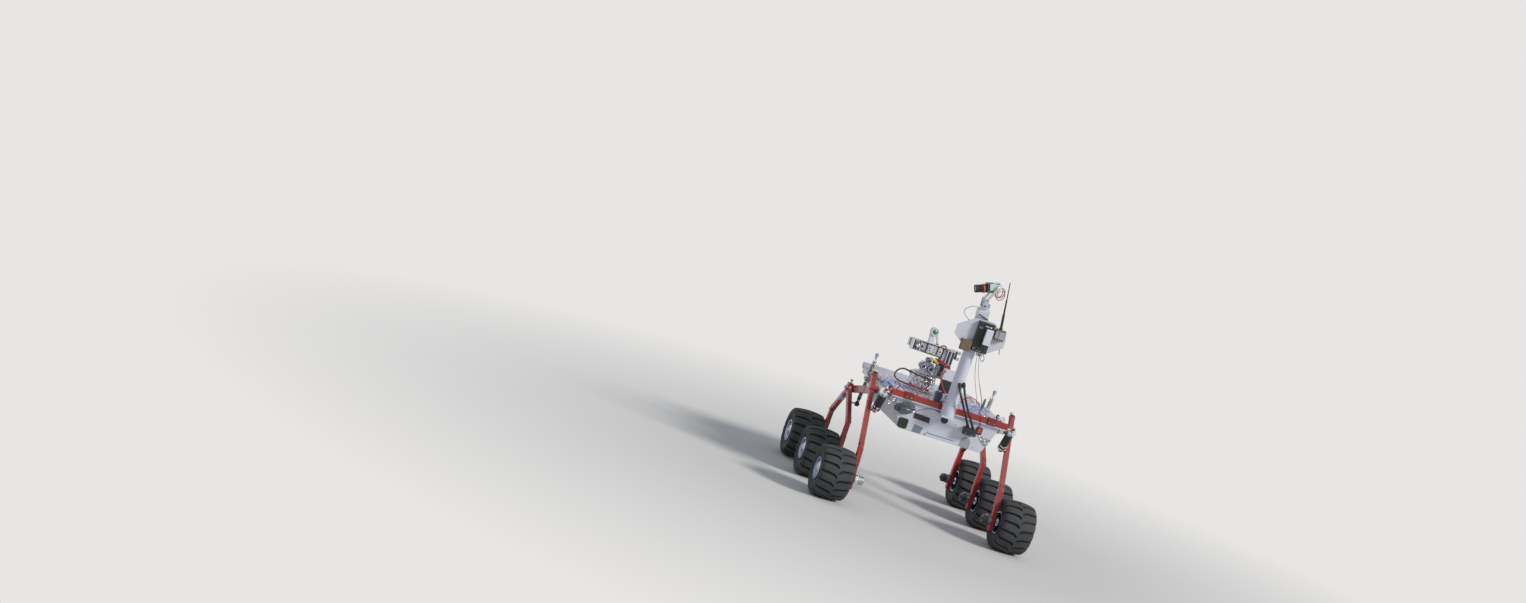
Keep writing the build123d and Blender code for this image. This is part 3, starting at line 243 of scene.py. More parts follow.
def each_side(build):
    """Builds on the left, then on the right."""
    for side_name, side in SIDES.items():
        build(side_name, side)


def centre(node):
    low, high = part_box(node)
    return (low + high) / 2


# Materials


def node_material(name):
    """A new material with its node tree and its principled shader."""
    material = bpy.data.materials.new(name)
    material.use_nodes = True
    tree = material.node_tree
    return material, tree, next(n for n in tree.nodes if n.type == "BSDF_PRINCIPLED")


def set_inputs(tree, node, values):
    """Sets a node's inputs, or links those whose value is a socket."""
    for name, value in values.items():
        if isinstance(value, bpy.types.NodeSocket):
            tree.links.new(value, node.inputs[name])
        else:
            node.inputs[name].default_value = value


def add_node(tree, kind, values, output=0, **settings):
    """Adds a shader node with its settings and inputs, and gives one of its outputs."""
    node = tree.nodes.new("ShaderNode" + kind)
    for name, value in settings.items():
        setattr(node, name, value)
    set_inputs(tree, node, values)
    return node.outputs[output]


def texture_space(tree, stretch=(1, 1, 1)):
    """Object coordinates, stretched along the axes."""
    return add_node(tree, "Mapping", {"Scale": stretch, "Vector": add_node(tree, "TexCoord", {}, "Object")})


def noise_value(tree, space, scale, detail=4.0, rough=0.55, distortion=0.0):
    values = {"Scale": scale, "Detail": detail, "Roughness": rough, "Distortion": distortion,
        "Vector": space}
    return add_node(tree, "TexNoise", values, "Fac")


def ranged(tree, value, low, high, start=0.3, end=0.7):
    """A value between start and end, stretched to run from low to high."""
    return add_node(tree, "MapRange", {"From Min": start, "From Max": end, "To Min": low, "To Max": high,
        "Value": value})


def blended(tree, factor, first, second):
    """Mixes two colours; each is a colour or a socket."""
    first, second = ((*c, 1) if isinstance(c, tuple) else c for c in (first, second))
    return add_node(tree, "Mix", {0: factor, 6: first, 7: second}, 2, data_type="RGBA")


def shade(colour, factor):
    return tuple(min(1.0, c * factor) for c in colour)


def multiply(tree, first, second):
    return add_node(tree, "Math", {0: first, 1: second}, operation="MULTIPLY")


def axis_value(tree, vector, axis):
    """One coordinate of a vector."""
    return add_node(tree, "SeparateXYZ", {0: vector}, axis)


def upward(tree):
    """How far a surface faces up, from 0 to 1, where dust would settle."""
    normal = add_node(tree, "NewGeometry", {}, "Normal")
    return ranged(tree, axis_value(tree, normal, "Z"), 0.0, 1.0, -0.2, 0.9)


def bump(tree, values, distance):
    """Stacks bumps; values are (height socket, strength)."""
    normal = {}
    for value, strength in values:
        inputs = {"Strength": strength, "Distance": distance, "Height": value, **normal}
        normal = {"Normal": add_node(tree, "Bump", inputs)}
    return normal["Normal"]


DUST = (0.3, 0.215, 0.175)


def finish_material(name, colour, roughness, metallic, vary, grain, grain_depth, dust, coat):
    """Paint, plastic, rubber or metal: mottled colour, patchy gloss, fine grain and settled dust."""
    material, tree, shader = node_material(name)
    space = texture_space(tree)
    broad = noise_value(tree, space, 9.0, 5.0)
    tone = blended(tree, ranged(tree, broad, 0, 1), shade(colour, 1 - vary), shade(colour, 1 + vary))
    patches = ranged(tree, noise_value(tree, space, 22.0, 6.0, 0.65), 0, 1, 0.42, 0.75)
    settled = multiply(tree, multiply(tree, patches, upward(tree)), dust)
    fine = noise_value(tree, space, grain, 3.0)
    wear = noise_value(tree, space, 35.0, 4.0)
    set_inputs(tree, shader, {
        "Base Color": blended(tree, settled, tone, DUST),
        "Roughness": ranged(tree, wear, roughness * 0.8, min(1.0, roughness * 1.25)),
        "Metallic": metallic, "Coat Weight": coat, "Coat Roughness": 0.12,
        "Normal": bump(tree, [(fine, grain_depth), (wear, grain_depth * 0.6)], 0.0006)})
    return material


def foil_material(name, colour, painted_reflection, shadow, roughness=0.17, crease=0.7):
    """Crumpled metallised film: sharp creases at two scales, and patches of painted reflection and painted
    shadow in its colour.
    """
    material, tree, shader = node_material(name)
    space = texture_space(tree)
    streak = texture_space(tree, (0.6, 2.0, 1.0))
    heights = []
    for scale, strength in ((30.0, crease), (96.0, crease * 0.5)):
        warp = add_node(tree, "TexNoise", {"Scale": scale * 0.6, "Vector": streak}, "Color")
        bent = add_node(tree, "Mix", {0: 0.22, 4: streak, 5: warp}, 1, data_type="VECTOR")
        cells = {"Scale": scale, "Vector": bent}
        heights.append((add_node(tree, "TexVoronoi", cells, "Distance", feature="DISTANCE_TO_EDGE"),
            strength))
    # The patches mix in a painted reflection colour; the shades and the fine grain mix in painted shadow.
    patches = noise_value(tree, streak, 15.0, 6.5, 0.62, 1.6)
    base = blended(tree, ranged(tree, patches, 0, 1, 0.48, 0.6), colour, painted_reflection)
    shades = noise_value(tree, space, 27.0, 6.0, 0.66, 1.8)
    base = blended(tree, ranged(tree, shades, 0, 0.9, 0.54, 0.64), base, shadow)
    fine = noise_value(tree, texture_space(tree, (0.6, 3.2, 1.0)), 36.0, 5.5, 0.68)
    set_inputs(tree, shader, {
        "Base Color": blended(tree, ranged(tree, fine, 0, 0.85, 0.5, 0.66), base, shadow),
        "Roughness": ranged(tree, noise_value(tree, space, 40.0), roughness * 0.6, roughness * 1.5),
        "Metallic": 1.0, "Normal": bump(tree, heights, 0.004)})
    return material


def rubber_material(name):
    """Tyre rubber: pale on the lugs with dust and painted light, darkened by painted shade in the grooves
    and on the sidewalls.
    """
    material, tree, shader = node_material(name)
    space = texture_space(tree)
    tread = add_node(tree, "VertexColor", {}, "Color", layer_name="tread")
    patches = ranged(tree, noise_value(tree, space, 16.0, 7.0, 0.7), 0.35, 1.0, 0.35, 0.7)
    dust_and_painted_light = multiply(tree, patches, add_node(tree, "SeparateColor", {0: tread}))
    mottle = ranged(tree, noise_value(tree, space, 60.0), 0, 1)
    rubber = blended(tree, mottle, (0.009, 0.011, 0.015), (0.018, 0.021, 0.026))
    grains = [(noise_value(tree, space, 300.0, 5.0), 0.35), (noise_value(tree, space, 60.0), 0.25)]
    set_inputs(tree, shader, {
        "Base Color": blended(tree, dust_and_painted_light, rubber, (0.078, 0.081, 0.083)),
        "Roughness": ranged(tree, dust_and_painted_light, 0.62, 0.9, 0, 1),
        "Specular IOR Level": 0.35, "Normal": bump(tree, grains, 0.0008)})
    return material


def glass_material(name, colour):
    material, tree, shader = node_material(name)
    tone = ranged(tree, noise_value(tree, texture_space(tree), 60.0), 0, 1)
    set_inputs(tree, shader, {
        "Base Color": blended(tree, tone, shade(colour, 0.7), shade(colour, 1.2)),
        "Roughness": 0.04, "Coat Weight": 1.0, "Coat Roughness": 0.02})
    return material


def loom_material(name):
    """Twisted wires in a sleeve: dark by the drum, red where they lie on the foil."""
    material, tree, shader = node_material(name)
    space = texture_space(tree)
    wave = add_node(tree, "TexWave", {"Scale": 60.0, "Distortion": 1.5, "Vector": space}, "Fac",
        bands_direction="DIAGONAL")
    red = blended(tree, ranged(tree, wave, 0, 1, 0.55, 0.75), (0.42, 0.026, 0.022), (0.035, 0.012, 0.018))
    place = ranged(tree, axis_value(tree, space, "X"), 0.0, 1.0, 0.01, 0.05)
    set_inputs(tree, shader, {
        "Base Color": blended(tree, place, (0.045, 0.016, 0.026), red),
        "Roughness": ranged(tree, noise_value(tree, space, 60.0), 0.32, 0.5),
        "Normal": bump(tree, [(wave, 0.35), (noise_value(tree, space, 300.0), 0.2)], 0.0008)})
    return material


def two_tone_material(name):
    """A thin wire, pale in its upper half and black below."""
    material, tree, shader = node_material(name)
    space = texture_space(tree)
    low = ranged(tree, axis_value(tree, space, "Z"), 1.0, 0.0, 0.8, 0.815)
    set_inputs(tree, shader, {
        "Base Color": blended(tree, low, (0.5, 0.48, 0.47), (0.016, 0.015, 0.016)),
        "Roughness": ranged(tree, noise_value(tree, space, 60.0), 0.35, 0.55)})
    return material


def make_materials():
    table = {
        # name: colour, roughness, metallic, variation, grain, grain depth, dust, coat
        "red_paint": ((0.33, 0.013, 0.014), 0.36, 0.0, 0.14, 240, 0.12, 0.18, 0.35),
        # A lighter red: the bogie hubs' red paint in painted sunlight, and the switch's own bright red.
        "red_bright_and_lit": ((0.58, 0.035, 0.03), 0.4, 0.0, 0.14, 240, 0.12, 0.15, 0.3),
        "white_paint": ((0.6, 0.62, 0.71), 0.42, 0.0, 0.04, 260, 0.1, 0.1, 0.15),
        "aluminium": ((0.52, 0.54, 0.58), 0.34, 1.0, 0.1, 320, 0.25, 0.12, 0.0),
        "chrome": ((0.8, 0.82, 0.85), 0.1, 1.0, 0.05, 200, 0.04, 0.05, 0.0),
        "steel": ((0.46, 0.47, 0.49), 0.36, 1.0, 0.14, 260, 0.22, 0.15, 0.0),
        "tan_anodised": ((0.24, 0.2, 0.15), 0.38, 0.6, 0.12, 260, 0.15, 0.12, 0.1),
        "black_plastic": ((0.02, 0.021, 0.023), 0.48, 0.0, 0.25, 300, 0.2, 0.06, 0.05),
        "white_plastic": ((0.7, 0.71, 0.78), 0.33, 0.0, 0.04, 300, 0.06, 0.06, 0.2),
        "grey_plastic": ((0.3, 0.32, 0.35), 0.52, 0.0, 0.1, 300, 0.15, 0.06, 0.0),
        "slate_tape": ((0.2, 0.23, 0.27), 0.45, 0.0, 0.16, 200, 0.25, 0.1, 0.1),
        "tan_card": ((0.165, 0.115, 0.078), 0.7, 0.0, 0.14, 200, 0.2, 0.08, 0.0),
        "mint_plastic": ((0.61, 0.72, 0.73), 0.3, 0.0, 0.05, 300, 0.06, 0.04, 0.3),
        "dark_red": ((0.12, 0.012, 0.012), 0.42, 0.0, 0.3, 300, 0.15, 0.04, 0.1),
        "orange_ring": ((0.55, 0.1, 0.03), 0.38, 0.0, 0.12, 300, 0.1, 0.04, 0.2),
        "cable_black": ((0.014, 0.014, 0.016), 0.34, 0.0, 0.2, 300, 0.1, 0.05, 0.1),
        "cable_red": ((0.42, 0.022, 0.018), 0.38, 0.0, 0.15, 300, 0.1, 0.05, 0.1),
        "cable_grey": ((0.16, 0.15, 0.15), 0.45, 0.0, 0.2, 300, 0.1, 0.05, 0.0),
        "red_shade": ((0.17, 0.009, 0.011), 0.42, 0.0, 0.16, 240, 0.14, 0.2, 0.25),
        "cap_white": ((0.84, 0.83, 0.74), 0.26, 0.0, 0.03, 300, 0.05, 0.04, 0.4),
        # A dim blue-violet that paints white parts in shade: painted shade.
        "lavender_painted_shade": ((0.38, 0.4, 0.54), 0.34, 0.0, 0.06, 300, 0.08, 0.05, 0.2),
        "blue_block": ((0.035, 0.065, 0.16), 0.36, 0.0, 0.22, 260, 0.15, 0.05, 0.2),
        "nut_blue": ((0.4, 0.5, 0.68), 0.24, 0.9, 0.12, 260, 0.12, 0.08, 0.0),
        "cable_violet": ((0.055, 0.018, 0.028), 0.4, 0.0, 0.25, 300, 0.1, 0.05, 0.1),
        "yellow_plastic": ((0.62, 0.52, 0.06), 0.42, 0.0, 0.08, 300, 0.08, 0.05, 0.1),
        "green_plastic": ((0.02, 0.2, 0.05), 0.22, 0.0, 0.15, 300, 0.05, 0.02, 0.8),
        "brass": ((0.26, 0.185, 0.075), 0.44, 0.6, 0.14, 260, 0.15, 0.05, 0.0),
        "grey_light": ((0.34, 0.38, 0.44), 0.45, 0.0, 0.08, 260, 0.1, 0.05, 0.1),
        "tape_silver": ((0.42, 0.44, 0.47), 0.3, 0.55, 0.16, 200, 0.2, 0.08, 0.1),
        "green_dark": ((0.012, 0.05, 0.02), 0.45, 0.0, 0.25, 300, 0.15, 0.02, 0.1),
        "teal_dark": ((0.012, 0.045, 0.05), 0.4, 0.0, 0.2, 300, 0.15, 0.05, 0.1),
        "steel_dark": ((0.17, 0.18, 0.21), 0.36, 0.9, 0.2, 260, 0.2, 0.12, 0.0),
        "motor_dark": ((0.03, 0.036, 0.05), 0.38, 0.3, 0.3, 260, 0.2, 0.15, 0.2),
        "bag_silver": ((0.105, 0.125, 0.135), 0.2, 0.8, 0.6, 60.0, 0.5, 0.04, 0.1),
        "bag_dark": ((0.03, 0.045, 0.045), 0.3, 0.3, 0.35, 60.0, 0.4, 0.04, 0.2),
        "rim_metal": ((0.52, 0.6, 0.74), 0.26, 1.0, 0.1, 220, 0.1, 0.1, 0.0),
        "navy": ((0.02, 0.035, 0.09), 0.35, 0.0, 0.15, 300, 0.1, 0.02, 0.2),
    }
    made = {name: finish_material(name, *values) for name, values in table.items()}
    # Each foil's second colour is a painted reflection of sky and ground, and its third colour is a painted
    # shadow.
    made["foil"] = foil_material("foil", (0.74, 0.72, 0.77), (0.36, 0.4, 0.58), (0.1, 0.085, 0.11))
    made["foil_sky_reflection"] = foil_material("foil_sky_reflection", (0.19, 0.31, 0.64), (0.46, 0.58, 0.84),
        (0.09, 0.13, 0.3), 0.24, 0.35)
    made["foil_ground_reflection"] = foil_material("foil_ground_reflection", (0.7, 0.72, 0.82), (0.36, 0.25, 0.21),
        (0.09, 0.09, 0.2))
    made["tyre_rubber"] = rubber_material("tyre_rubber")
    made["wire_two_tone"] = two_tone_material("wire_two_tone")
    made["loom"] = loom_material("loom")
    made["lens_glass"] = glass_material("lens_glass", (0.012, 0.012, 0.02))
    return made


MATERIALS = make_materials()


# Mesh building


def profile(*mm):
    """(along, radius) pairs in metres from a row of millimetres."""
    return [(along / 1000, radius / 1000) for along, radius in zip(mm[::2], mm[1::2])]


def route(*mm):
    """Points in metres from a row of millimetres."""
    return [(x / 1000, y / 1000, z / 1000) for x, y, z in zip(mm[::3], mm[1::3], mm[2::3])]


def circle(sides, shift=0.0):
    """(cosine, sine) of each corner of a polygon."""
    angles = (2 * math.pi * (i + shift) / sides for i in range(sides))
    return [(math.cos(angle), math.sin(angle)) for angle in angles]


def turned_frame(start, direction):
    """A matrix whose Z axis points along a direction, at a start."""
    turn = Vector((0, 0, 1)).rotation_difference(Vector(direction).normalized())
    return Matrix.Translation(Vector(start)) @ turn.to_matrix().to_4x4()


def upright_frame(x, way=1):
    """A matrix that puts a (y, z) outline at x, and raises it forward or, with -1, backward."""
    return Matrix(((0, 0, way, x), (1, 0, 0, 0), (0, 1, 0, 0), (0, 0, 0, 1)))


def add_object(name, data):
    """Puts new data into the scene."""
    made = bpy.data.objects.new(name, data)
    bpy.context.scene.collection.objects.link(made)
    return made


def object_of(name, mesh, sharp):
    """Makes a smooth-shaded object of a mesh; edges over a number of degrees stay sharp."""
    bmesh.ops.recalc_face_normals(mesh, faces=mesh.faces)
    data = bpy.data.meshes.new(name)
    mesh.to_mesh(data)
    mesh.free()
    data.shade_smooth()
    data.set_sharp_from_angle(angle=math.radians(sharp))
    return add_object(name, data)


def thicken(sheet, thickness):
    """Gives a sheet its thickness, half to each side."""
    modifier = sheet.modifiers.new("thickness", "SOLIDIFY")
    modifier.thickness = thickness
    modifier.offset = 0


class Piece:
    """Collects the parts of one mesh, each with its own material."""

    def __init__(self, name):
        self.name = name
        self.mesh = bmesh.new()
        self.slots = []

    def index(self, material):
        if material not in self.slots:
            self.slots.append(material)
        return self.slots.index(material)

    def paint(self, faces, material):
        index = self.index(material)
        for face in faces:
            face.material_index = index

    def faces(self, corners, polygons, material, matrix=None):
        """Adds polygons over a list of corners."""
        points = [Vector(c) for c in corners]
        if matrix is not None:
            points = [matrix @ p for p in points]
        verts = [self.mesh.verts.new(p) for p in points]
        self.paint([self.mesh.faces.new([verts[i] for i in polygon]) for polygon in polygons], material)
        return verts

    def skin(self, corners, sides, material, matrix=None, closed=False):
        """Joins rings of corners; a closed skin joins the last to the first, an open one has end caps."""
        count = len(corners) // sides
        polygons = []
        for ring in range(count if closed else count - 1):
            a, b = ring * sides, (ring + 1) % count * sides
            polygons += [(a + i, a + j, b + j, b + i) for i, j in ((i, (i + 1) % sides)
                for i in range(sides))]
        if not closed:
            last = (count - 1) * sides
            polygons += [tuple(range(sides))[::-1], tuple(range(last, last + sides))]
        return self.faces(corners, polygons, material, matrix)

    def prism(self, outline, depth, material, matrix):
        """A flat outline in the matrix's XY plane, raised along its Z axis."""
        count = len(outline)
        corners = [(x, y, 0) for x, y in outline] + [(x, y, depth) for x, y in outline]
        polygons = [tuple(range(count))[::-1], tuple(range(count, 2 * count))]
        polygons += [(i, (i + 1) % count, (i + 1) % count + count, i + count) for i in range(count)]
        return self.faces(corners, polygons, material, matrix)

    def box(self, low, high, material, matrix=None):
        corners = [(x, y, z) for z in (low[2], high[2]) for y in (low[1], high[1])
            for x in (low[0], high[0])]
        polygons = [(0, 2, 3, 1), (4, 5, 7, 6), (0, 1, 5, 4), (2, 6, 7, 3), (0, 4, 6, 2), (1, 3, 7, 5)]
        return self.faces(corners, polygons, material, matrix)

    def strip(self, x, start, end, wide, half, material):
        """A flat bar between two (y, z) places at x."""
        line = Vector((0, end[0] - start[0], end[1] - start[1]))
        along = line.normalized()
        axes = Matrix((along, Vector(AHEAD), along.cross(Vector(AHEAD)))).transposed().to_4x4()
        place = Matrix.Translation((x, *start)) @ axes
        return self.box((0, -half, -wide / 2), (line.length, half, wide / 2), material, place)

    def turned(self, start, direction, outline, material, sides=32):
        """Turns an outline of (distance along, radius) about a line."""
        corners = [(radius * x, radius * y, along) for along, radius in outline for x, y in circle(sides)]
        return self.skin(corners, sides, material, turned_frame(start, direction))

    def rod(self, start, end, radius, material, sides=24, edge=0.0008):
        """A round bar with softened ends."""
        line = Vector(end) - Vector(start)
        long = line.length
        edge = min(edge, radius * 0.4, long * 0.3)
        outline = [(0, radius - edge), (edge, radius), (long - edge, radius), (long, radius - edge)]
        return self.turned(start, line, outline, material, sides)

    def ring(self, start, direction, inner, outer, depth, material, sides=32):
        """A flat washer or collar with a hole."""
        section = ((inner, 0), (outer, 0), (outer, depth), (inner, depth))
        corners = [(radius * x, radius * y, along) for radius, along in section for x, y in circle(sides)]
        return self.skin(corners, sides, material, turned_frame(start, direction), True)

    def bolt(self, place, direction, radius, material, washer=True):
        """Hexagon head on a washer."""
        direction = Vector(direction).normalized()
        if washer:
            self.turned(place, direction, [(0, radius * 1.35), (radius * 0.2, radius * 1.35)], material, 16)
        seat = Vector(place) + direction * radius * (0.2 if washer else 0)
        self.turned(seat, direction, [(0, radius), (radius * 0.55, radius), (radius * 0.7, radius * 0.82)],
            material, 6)

    def screw(self, place, direction, radius, material):
        """Pan head with a socket."""
        outline = [(along * radius, wide * radius) for along, wide in ((0, 1), (0.35, 1), (0.6, 0.75),
            (0.6, 0.4), (0.25, 0.4))]
        self.turned(place, direction, outline, material, 14)

    def tube(self, points, radius, material, sides=10):
        """A bent round bar through points, its ends closed."""
        points = [Vector(p) for p in points]
        for _ in range(2):
            inner = [a.lerp(b, t) for a, b in zip(points, points[1:]) for t in (0.25, 0.75)]
            points = [points[0]] + inner[1:-1] + [points[-1]]
        corners = []
        side = None
        for i, point in enumerate(points):
            along = (points[min(len(points) - 1, i + 1)] - points[max(0, i - 1)]).normalized()
            if side is None:
                side = along.orthogonal().normalized()
            side = (side - along * side.dot(along)).normalized()
            other = along.cross(side)
            corners += [point + (side * x + other * y) * radius for x, y in circle(sides)]
        return self.skin(corners, sides, material)

    def turn(self, verts, pivot, axis, degrees):
        """Turns parts of the mesh about a line."""
        turn = Quaternion(Vector(axis), math.radians(degrees)).to_matrix()
        for vert in verts:
            vert.co = turn @ (vert.co - Vector(pivot)) + Vector(pivot)

    def done(self, slot, replaces=(), bevel=0.0, smooth=35.0, segments=2, body="chassis"):
        """Makes the object and lets it ride on its body."""
        piece = object_of(self.name, self.mesh, smooth)
        for material in self.slots:
            piece.data.materials.append(MATERIALS[material])
        if bevel:
            modifier = piece.modifiers.new("bevel", "BEVEL")
            modifier.width = bevel
            modifier.segments = segments
            modifier.limit_method = "ANGLE"
            modifier.angle_limit = math.radians(40)
            modifier.harden_normals = True
        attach(piece, body)
        if replaces:
            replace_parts(piece, *replaces)
        return piece


# Camera, light and floor


def add_camera():
    """Looks from the photograph's place; the base point lands on its pixel without any shift."""
    direction = Vector((math.cos(CAMERA_ELEVATION) * math.cos(CAMERA_AZIMUTH),
        math.cos(CAMERA_ELEVATION) * math.sin(CAMERA_AZIMUTH), math.sin(CAMERA_ELEVATION)))
    right = Vector((-math.sin(CAMERA_AZIMUTH), math.cos(CAMERA_AZIMUTH), 0))
    up = direction.cross(right)
    roll = Matrix.Rotation(CAMERA_ROLL, 3, direction)
    right, up = roll @ right, roll @ up
    focal = PIXELS_PER_METRE * CAMERA_DISTANCE
    pan = math.atan((BASE_PIXEL[0] - IMAGE_WIDTH / 2) / focal)
    tip = math.atan((BASE_PIXEL[1] - IMAGE_HEIGHT / 2) / focal)
    turn = Matrix.Rotation(pan, 3, up) @ Matrix.Rotation(tip, 3, right)
    axes = Matrix((turn @ right, turn @ up, turn @ direction)).transposed()
    data = bpy.data.cameras.new("camera")
    data.sensor_width = SENSOR_WIDTH
    data.lens = SENSOR_WIDTH * focal / IMAGE_WIDTH
    data.clip_end = 200
    camera = add_object("camera", data)
    camera.matrix_world = Matrix.Translation(BASE + direction * CAMERA_DISTANCE) @ axes.to_4x4()
    bpy.context.scene.camera = camera


def shown_ray(tree):
    """1 for rays that see the backdrop: from the camera, off gloss or through glass."""
    path = tree.nodes.new("ShaderNodeLightPath").outputs
    total = path["Is Camera Ray"]
    for name in ("Is Glossy Ray", "Is Transmission Ray"):
        total = add_node(tree, "Math", {0: total, 1: path[name]}, operation="MAXIMUM")
    return total


def end_tree(tree, kind, share, first, second):
    """Ends a tree with a mix of two shaders."""
    both = add_node(tree, "MixShader", {0: share, 1: first, 2: second})
    set_inputs(tree, tree.nodes.new("ShaderNodeOutput" + kind), {0: both})


def add_light():
    lamp = bpy.data.lights.new("key", "SUN")
    lamp.energy = SUN_STRENGTH
    lamp.angle = SUN_SOFTNESS
    lamp.color = SUN_COLOUR
    key = add_object("key", lamp)
    key.rotation_mode = "QUATERNION"
    key.rotation_quaternion = SUN_FROM.to_track_quat("Z", "Y")
    world = bpy.data.worlds.new("world")
    bpy.context.scene.world = world
    world.use_nodes = True
    tree = world.node_tree
    tree.nodes.clear()
    sky = add_node(tree, "Background", {"Color": (*SKY_COLOUR, 1), "Strength": WORLD_STRENGTH})
    seen = add_node(tree, "Background", {"Color": (*BACKGROUND, 1)})
    end_tree(tree, "World", shown_ray(tree), sky, seen)


def add_floor():
    """A pale floor that fades into the background away from the rover."""
    data = bpy.data.meshes.new("floor")
    corners = [(x * FLOOR_HALF, y * FLOOR_HALF, 0) for x, y in ((-1, -1), (1, -1), (1, 1), (-1, 1))]
    data.from_pydata(corners, [], [(0, 1, 2, 3)])
    floor = add_object("floor", data)
    material = bpy.data.materials.new("floor")
    material.use_nodes = True
    tree = material.node_tree
    tree.nodes.clear()
    matt = add_node(tree, "BsdfDiffuse", {"Color": (*FLOOR_COLOUR, 1)})
    glow = add_node(tree, "Emission", {"Color": (*BACKGROUND, 1)})
    spot = add_node(tree, "TexCoord", {}, "Object")
    away = add_node(tree, "VectorMath", {0: spot}, "Value", operation="LENGTH")
    far = ranged(tree, away, 0.0, 1.0, *FLOOR_FADE)
    end_tree(tree, "Material", multiply(tree, far, shown_ray(tree)), matt, glow)
    data.materials.append(material)


# Wheels


def tyre_rows():
    """Half the tyre's section from the middle out: y, radius on a lug, radius in a groove."""
    rows = []
    for y in (0.0, 0.0025, GROOVE_START, 0.01, 0.016, 0.024, 0.034, 0.045, 0.056, 0.066, 0.074):
        drop = CROWN * (y / CROWN_HALF) ** 2
        rows.append((y, TYRE_RADIUS - drop, TYRE_RADIUS - GROOVE_DEPTH - drop))
    rows += [(0.08, 0.1308, 0.12), (0.085, 0.1272, 0.1165), (0.0885, 0.1225, 0.1135), (0.09, 0.118, 0.111),
        (0.0896, 0.11, 0.107), (0.0885, 0.103, 0.103), (0.0875, 0.093, 0.093), (0.085, 0.082, 0.082),
        (0.0815, 0.072, 0.072), (0.08, 0.066, 0.066), (0.0812, 0.0615, 0.0615), (0.078, 0.0602, 0.0602),]
    return rows


def groove_slant(y):
    """How far a groove has run round the tyre at a distance from the middle, in metres."""
    return min(y, SLANT_BEND) * SLANT_NEAR + max(0.0, min(y, SLANT_END) - SLANT_BEND) * SLANT_FAR


def tyre_mesh(name, side, place):
    """Broad chevron lugs with narrow grooves, as rings of points that follow the grooves."""
    pitch = 2 * math.pi / LUGS_PER_ROW
    offsets = []
    for stagger in (0.0, pitch / 2):
        for step in (-GROOVE_TOP, -GROOVE_FLOOR, GROOVE_FLOOR, GROOVE_TOP):
            offsets.append((stagger + step / TYRE_RADIUS, stagger, abs(step) == GROOVE_FLOOR))
        gap = pitch / 2 - 2 * GROOVE_TOP / TYRE_RADIUS
        for share in (0.25, 0.5, 0.75):
            offsets.append((stagger + GROOVE_TOP / TYRE_RADIUS + gap * share, stagger, False))
    offsets.sort(key=lambda item: item[0])
    half = tyre_rows()
    section = [(-y, top, floor, -1) for y, top, floor in reversed(half)]
    section += [(y, top, floor, 1) for y, top, floor in half[1:]]
    mesh = bmesh.new()
    layer = mesh.loops.layers.color.new("tread")
    rings = []
    for y, top, floor, row in section:
        ring = []
        own = 0.0 if row * side > 0 else pitch / 2
        for k in range(LUGS_PER_ROW):
            for offset, stagger, deep in offsets:
                sunk = deep and stagger == own and abs(y) >= GROOVE_START and top > floor
                angle = k * pitch + offset + groove_slant(abs(y)) / TYRE_RADIUS
                radius = floor if sunk else top
                point = place + Vector((radius * math.cos(angle), y, radius * math.sin(angle)))
                ring.append((mesh.verts.new(point), sunk, top > TREAD_EDGE_RADIUS))
        rings.append(ring)
    count = len(rings[0])
    for first, second in zip(rings, rings[1:]):
        for i in range(count):
            j = (i + 1) % count
            corners = (first[i], first[j], second[j], second[i])
            face = mesh.faces.new([corner[0] for corner in corners])
            for loop, (_, sunk, tread) in zip(face.loops, corners):
                # The tread layer is 1 on the lugs' tops; 0.22 on the sidewalls and 0.04 in the grooves
                # darken them as painted shade.
                value = 0.04 if sunk else (1.0 if tread else 0.22)
                loop[layer] = (value, value, value, 1)
    tyre = object_of(name, mesh, 32)
    tyre.data.materials.append(MATERIALS["tyre_rubber"])
    return tyre


def add_wheels():
    for side_name, side in SIDES.items():
        for axle in AXLES:
            body = f"wheel_{axle}_{side_name}"
            node = f"tyre_{axle}_{side_name}"
            place = centre(node)
            tyre = tyre_mesh(f"tread_{axle}_{side_name}", side, place)
            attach(tyre, body)
            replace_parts(tyre, node)
            trim = Piece(f"rim_trim_{axle}_{side_name}")
            outward = Vector((0, side, 0))
            face = place + outward * 0.0835
            trim.ring(face - outward * 0.006, outward, RIM_RADIUS - 0.006, RIM_RADIUS - 0.0003, 0.0085,
                "rim_metal", 64)
            trim.turned(face - outward * 0.0135, outward, profile(0, 53.5, 4, 53.5, 8, 47, 10, 30,
                13.5, 24), "rim_metal", 64)
            trim.turned(face, outward, profile(0, 21, 3, 20, 5.5, 15, 6.2, 0), "steel", 32)
            for x, z in circle(6, 0.5):
                spot = face + Vector((0.0365 * x, 0, 0.0365 * z))
                trim.bolt(spot - outward * 0.005, outward, 0.0035, "steel")
            trim.done("rim_metal", body=body)


# Suspension


def run_frame(start, end, y):
    """A frame at the start of a limb's run in the XZ plane, with its X axis along the run."""
    line = Vector((end[0] - start[0], 0, end[1] - start[1]))
    along = line.normalized()
    axes = Matrix((along, Vector(LEFT), Vector((-along.z, 0, along.x)))).transposed().to_4x4()
    return Matrix.Translation((start[0], y, start[1])) @ axes, line.length


def tube_run(piece, start, end, y, width, depth, material="red_paint", span=(0.0, 1.0)):
    """A square tube, or a sleeve over part of one."""
    frame_there, length = run_frame(start, end, y)
    piece.box((length * span[0], -depth / 2, -width / 2), (length * span[1], depth / 2, width / 2),
        material, frame_there)


def sleeve(piece, start, end, y, grow, material, span):
    """A sleeve round part of a leg's tube."""
    tube_run(piece, start, end, y, LEG_WIDTH + grow, LEG_DEPTH + grow, material, span)


def knuckle(piece, place, y, depth, radius):
    """A round boss across a limb."""
    (x, z), half = place, depth / 2
    piece.rod((x, y - half, z), (x, y + half, z), radius, "red_paint", 40, 0.002)


def between(start, end, share):
    return (start[0] + (end[0] - start[0]) * share, start[1] + (end[1] - start[1]) * share)


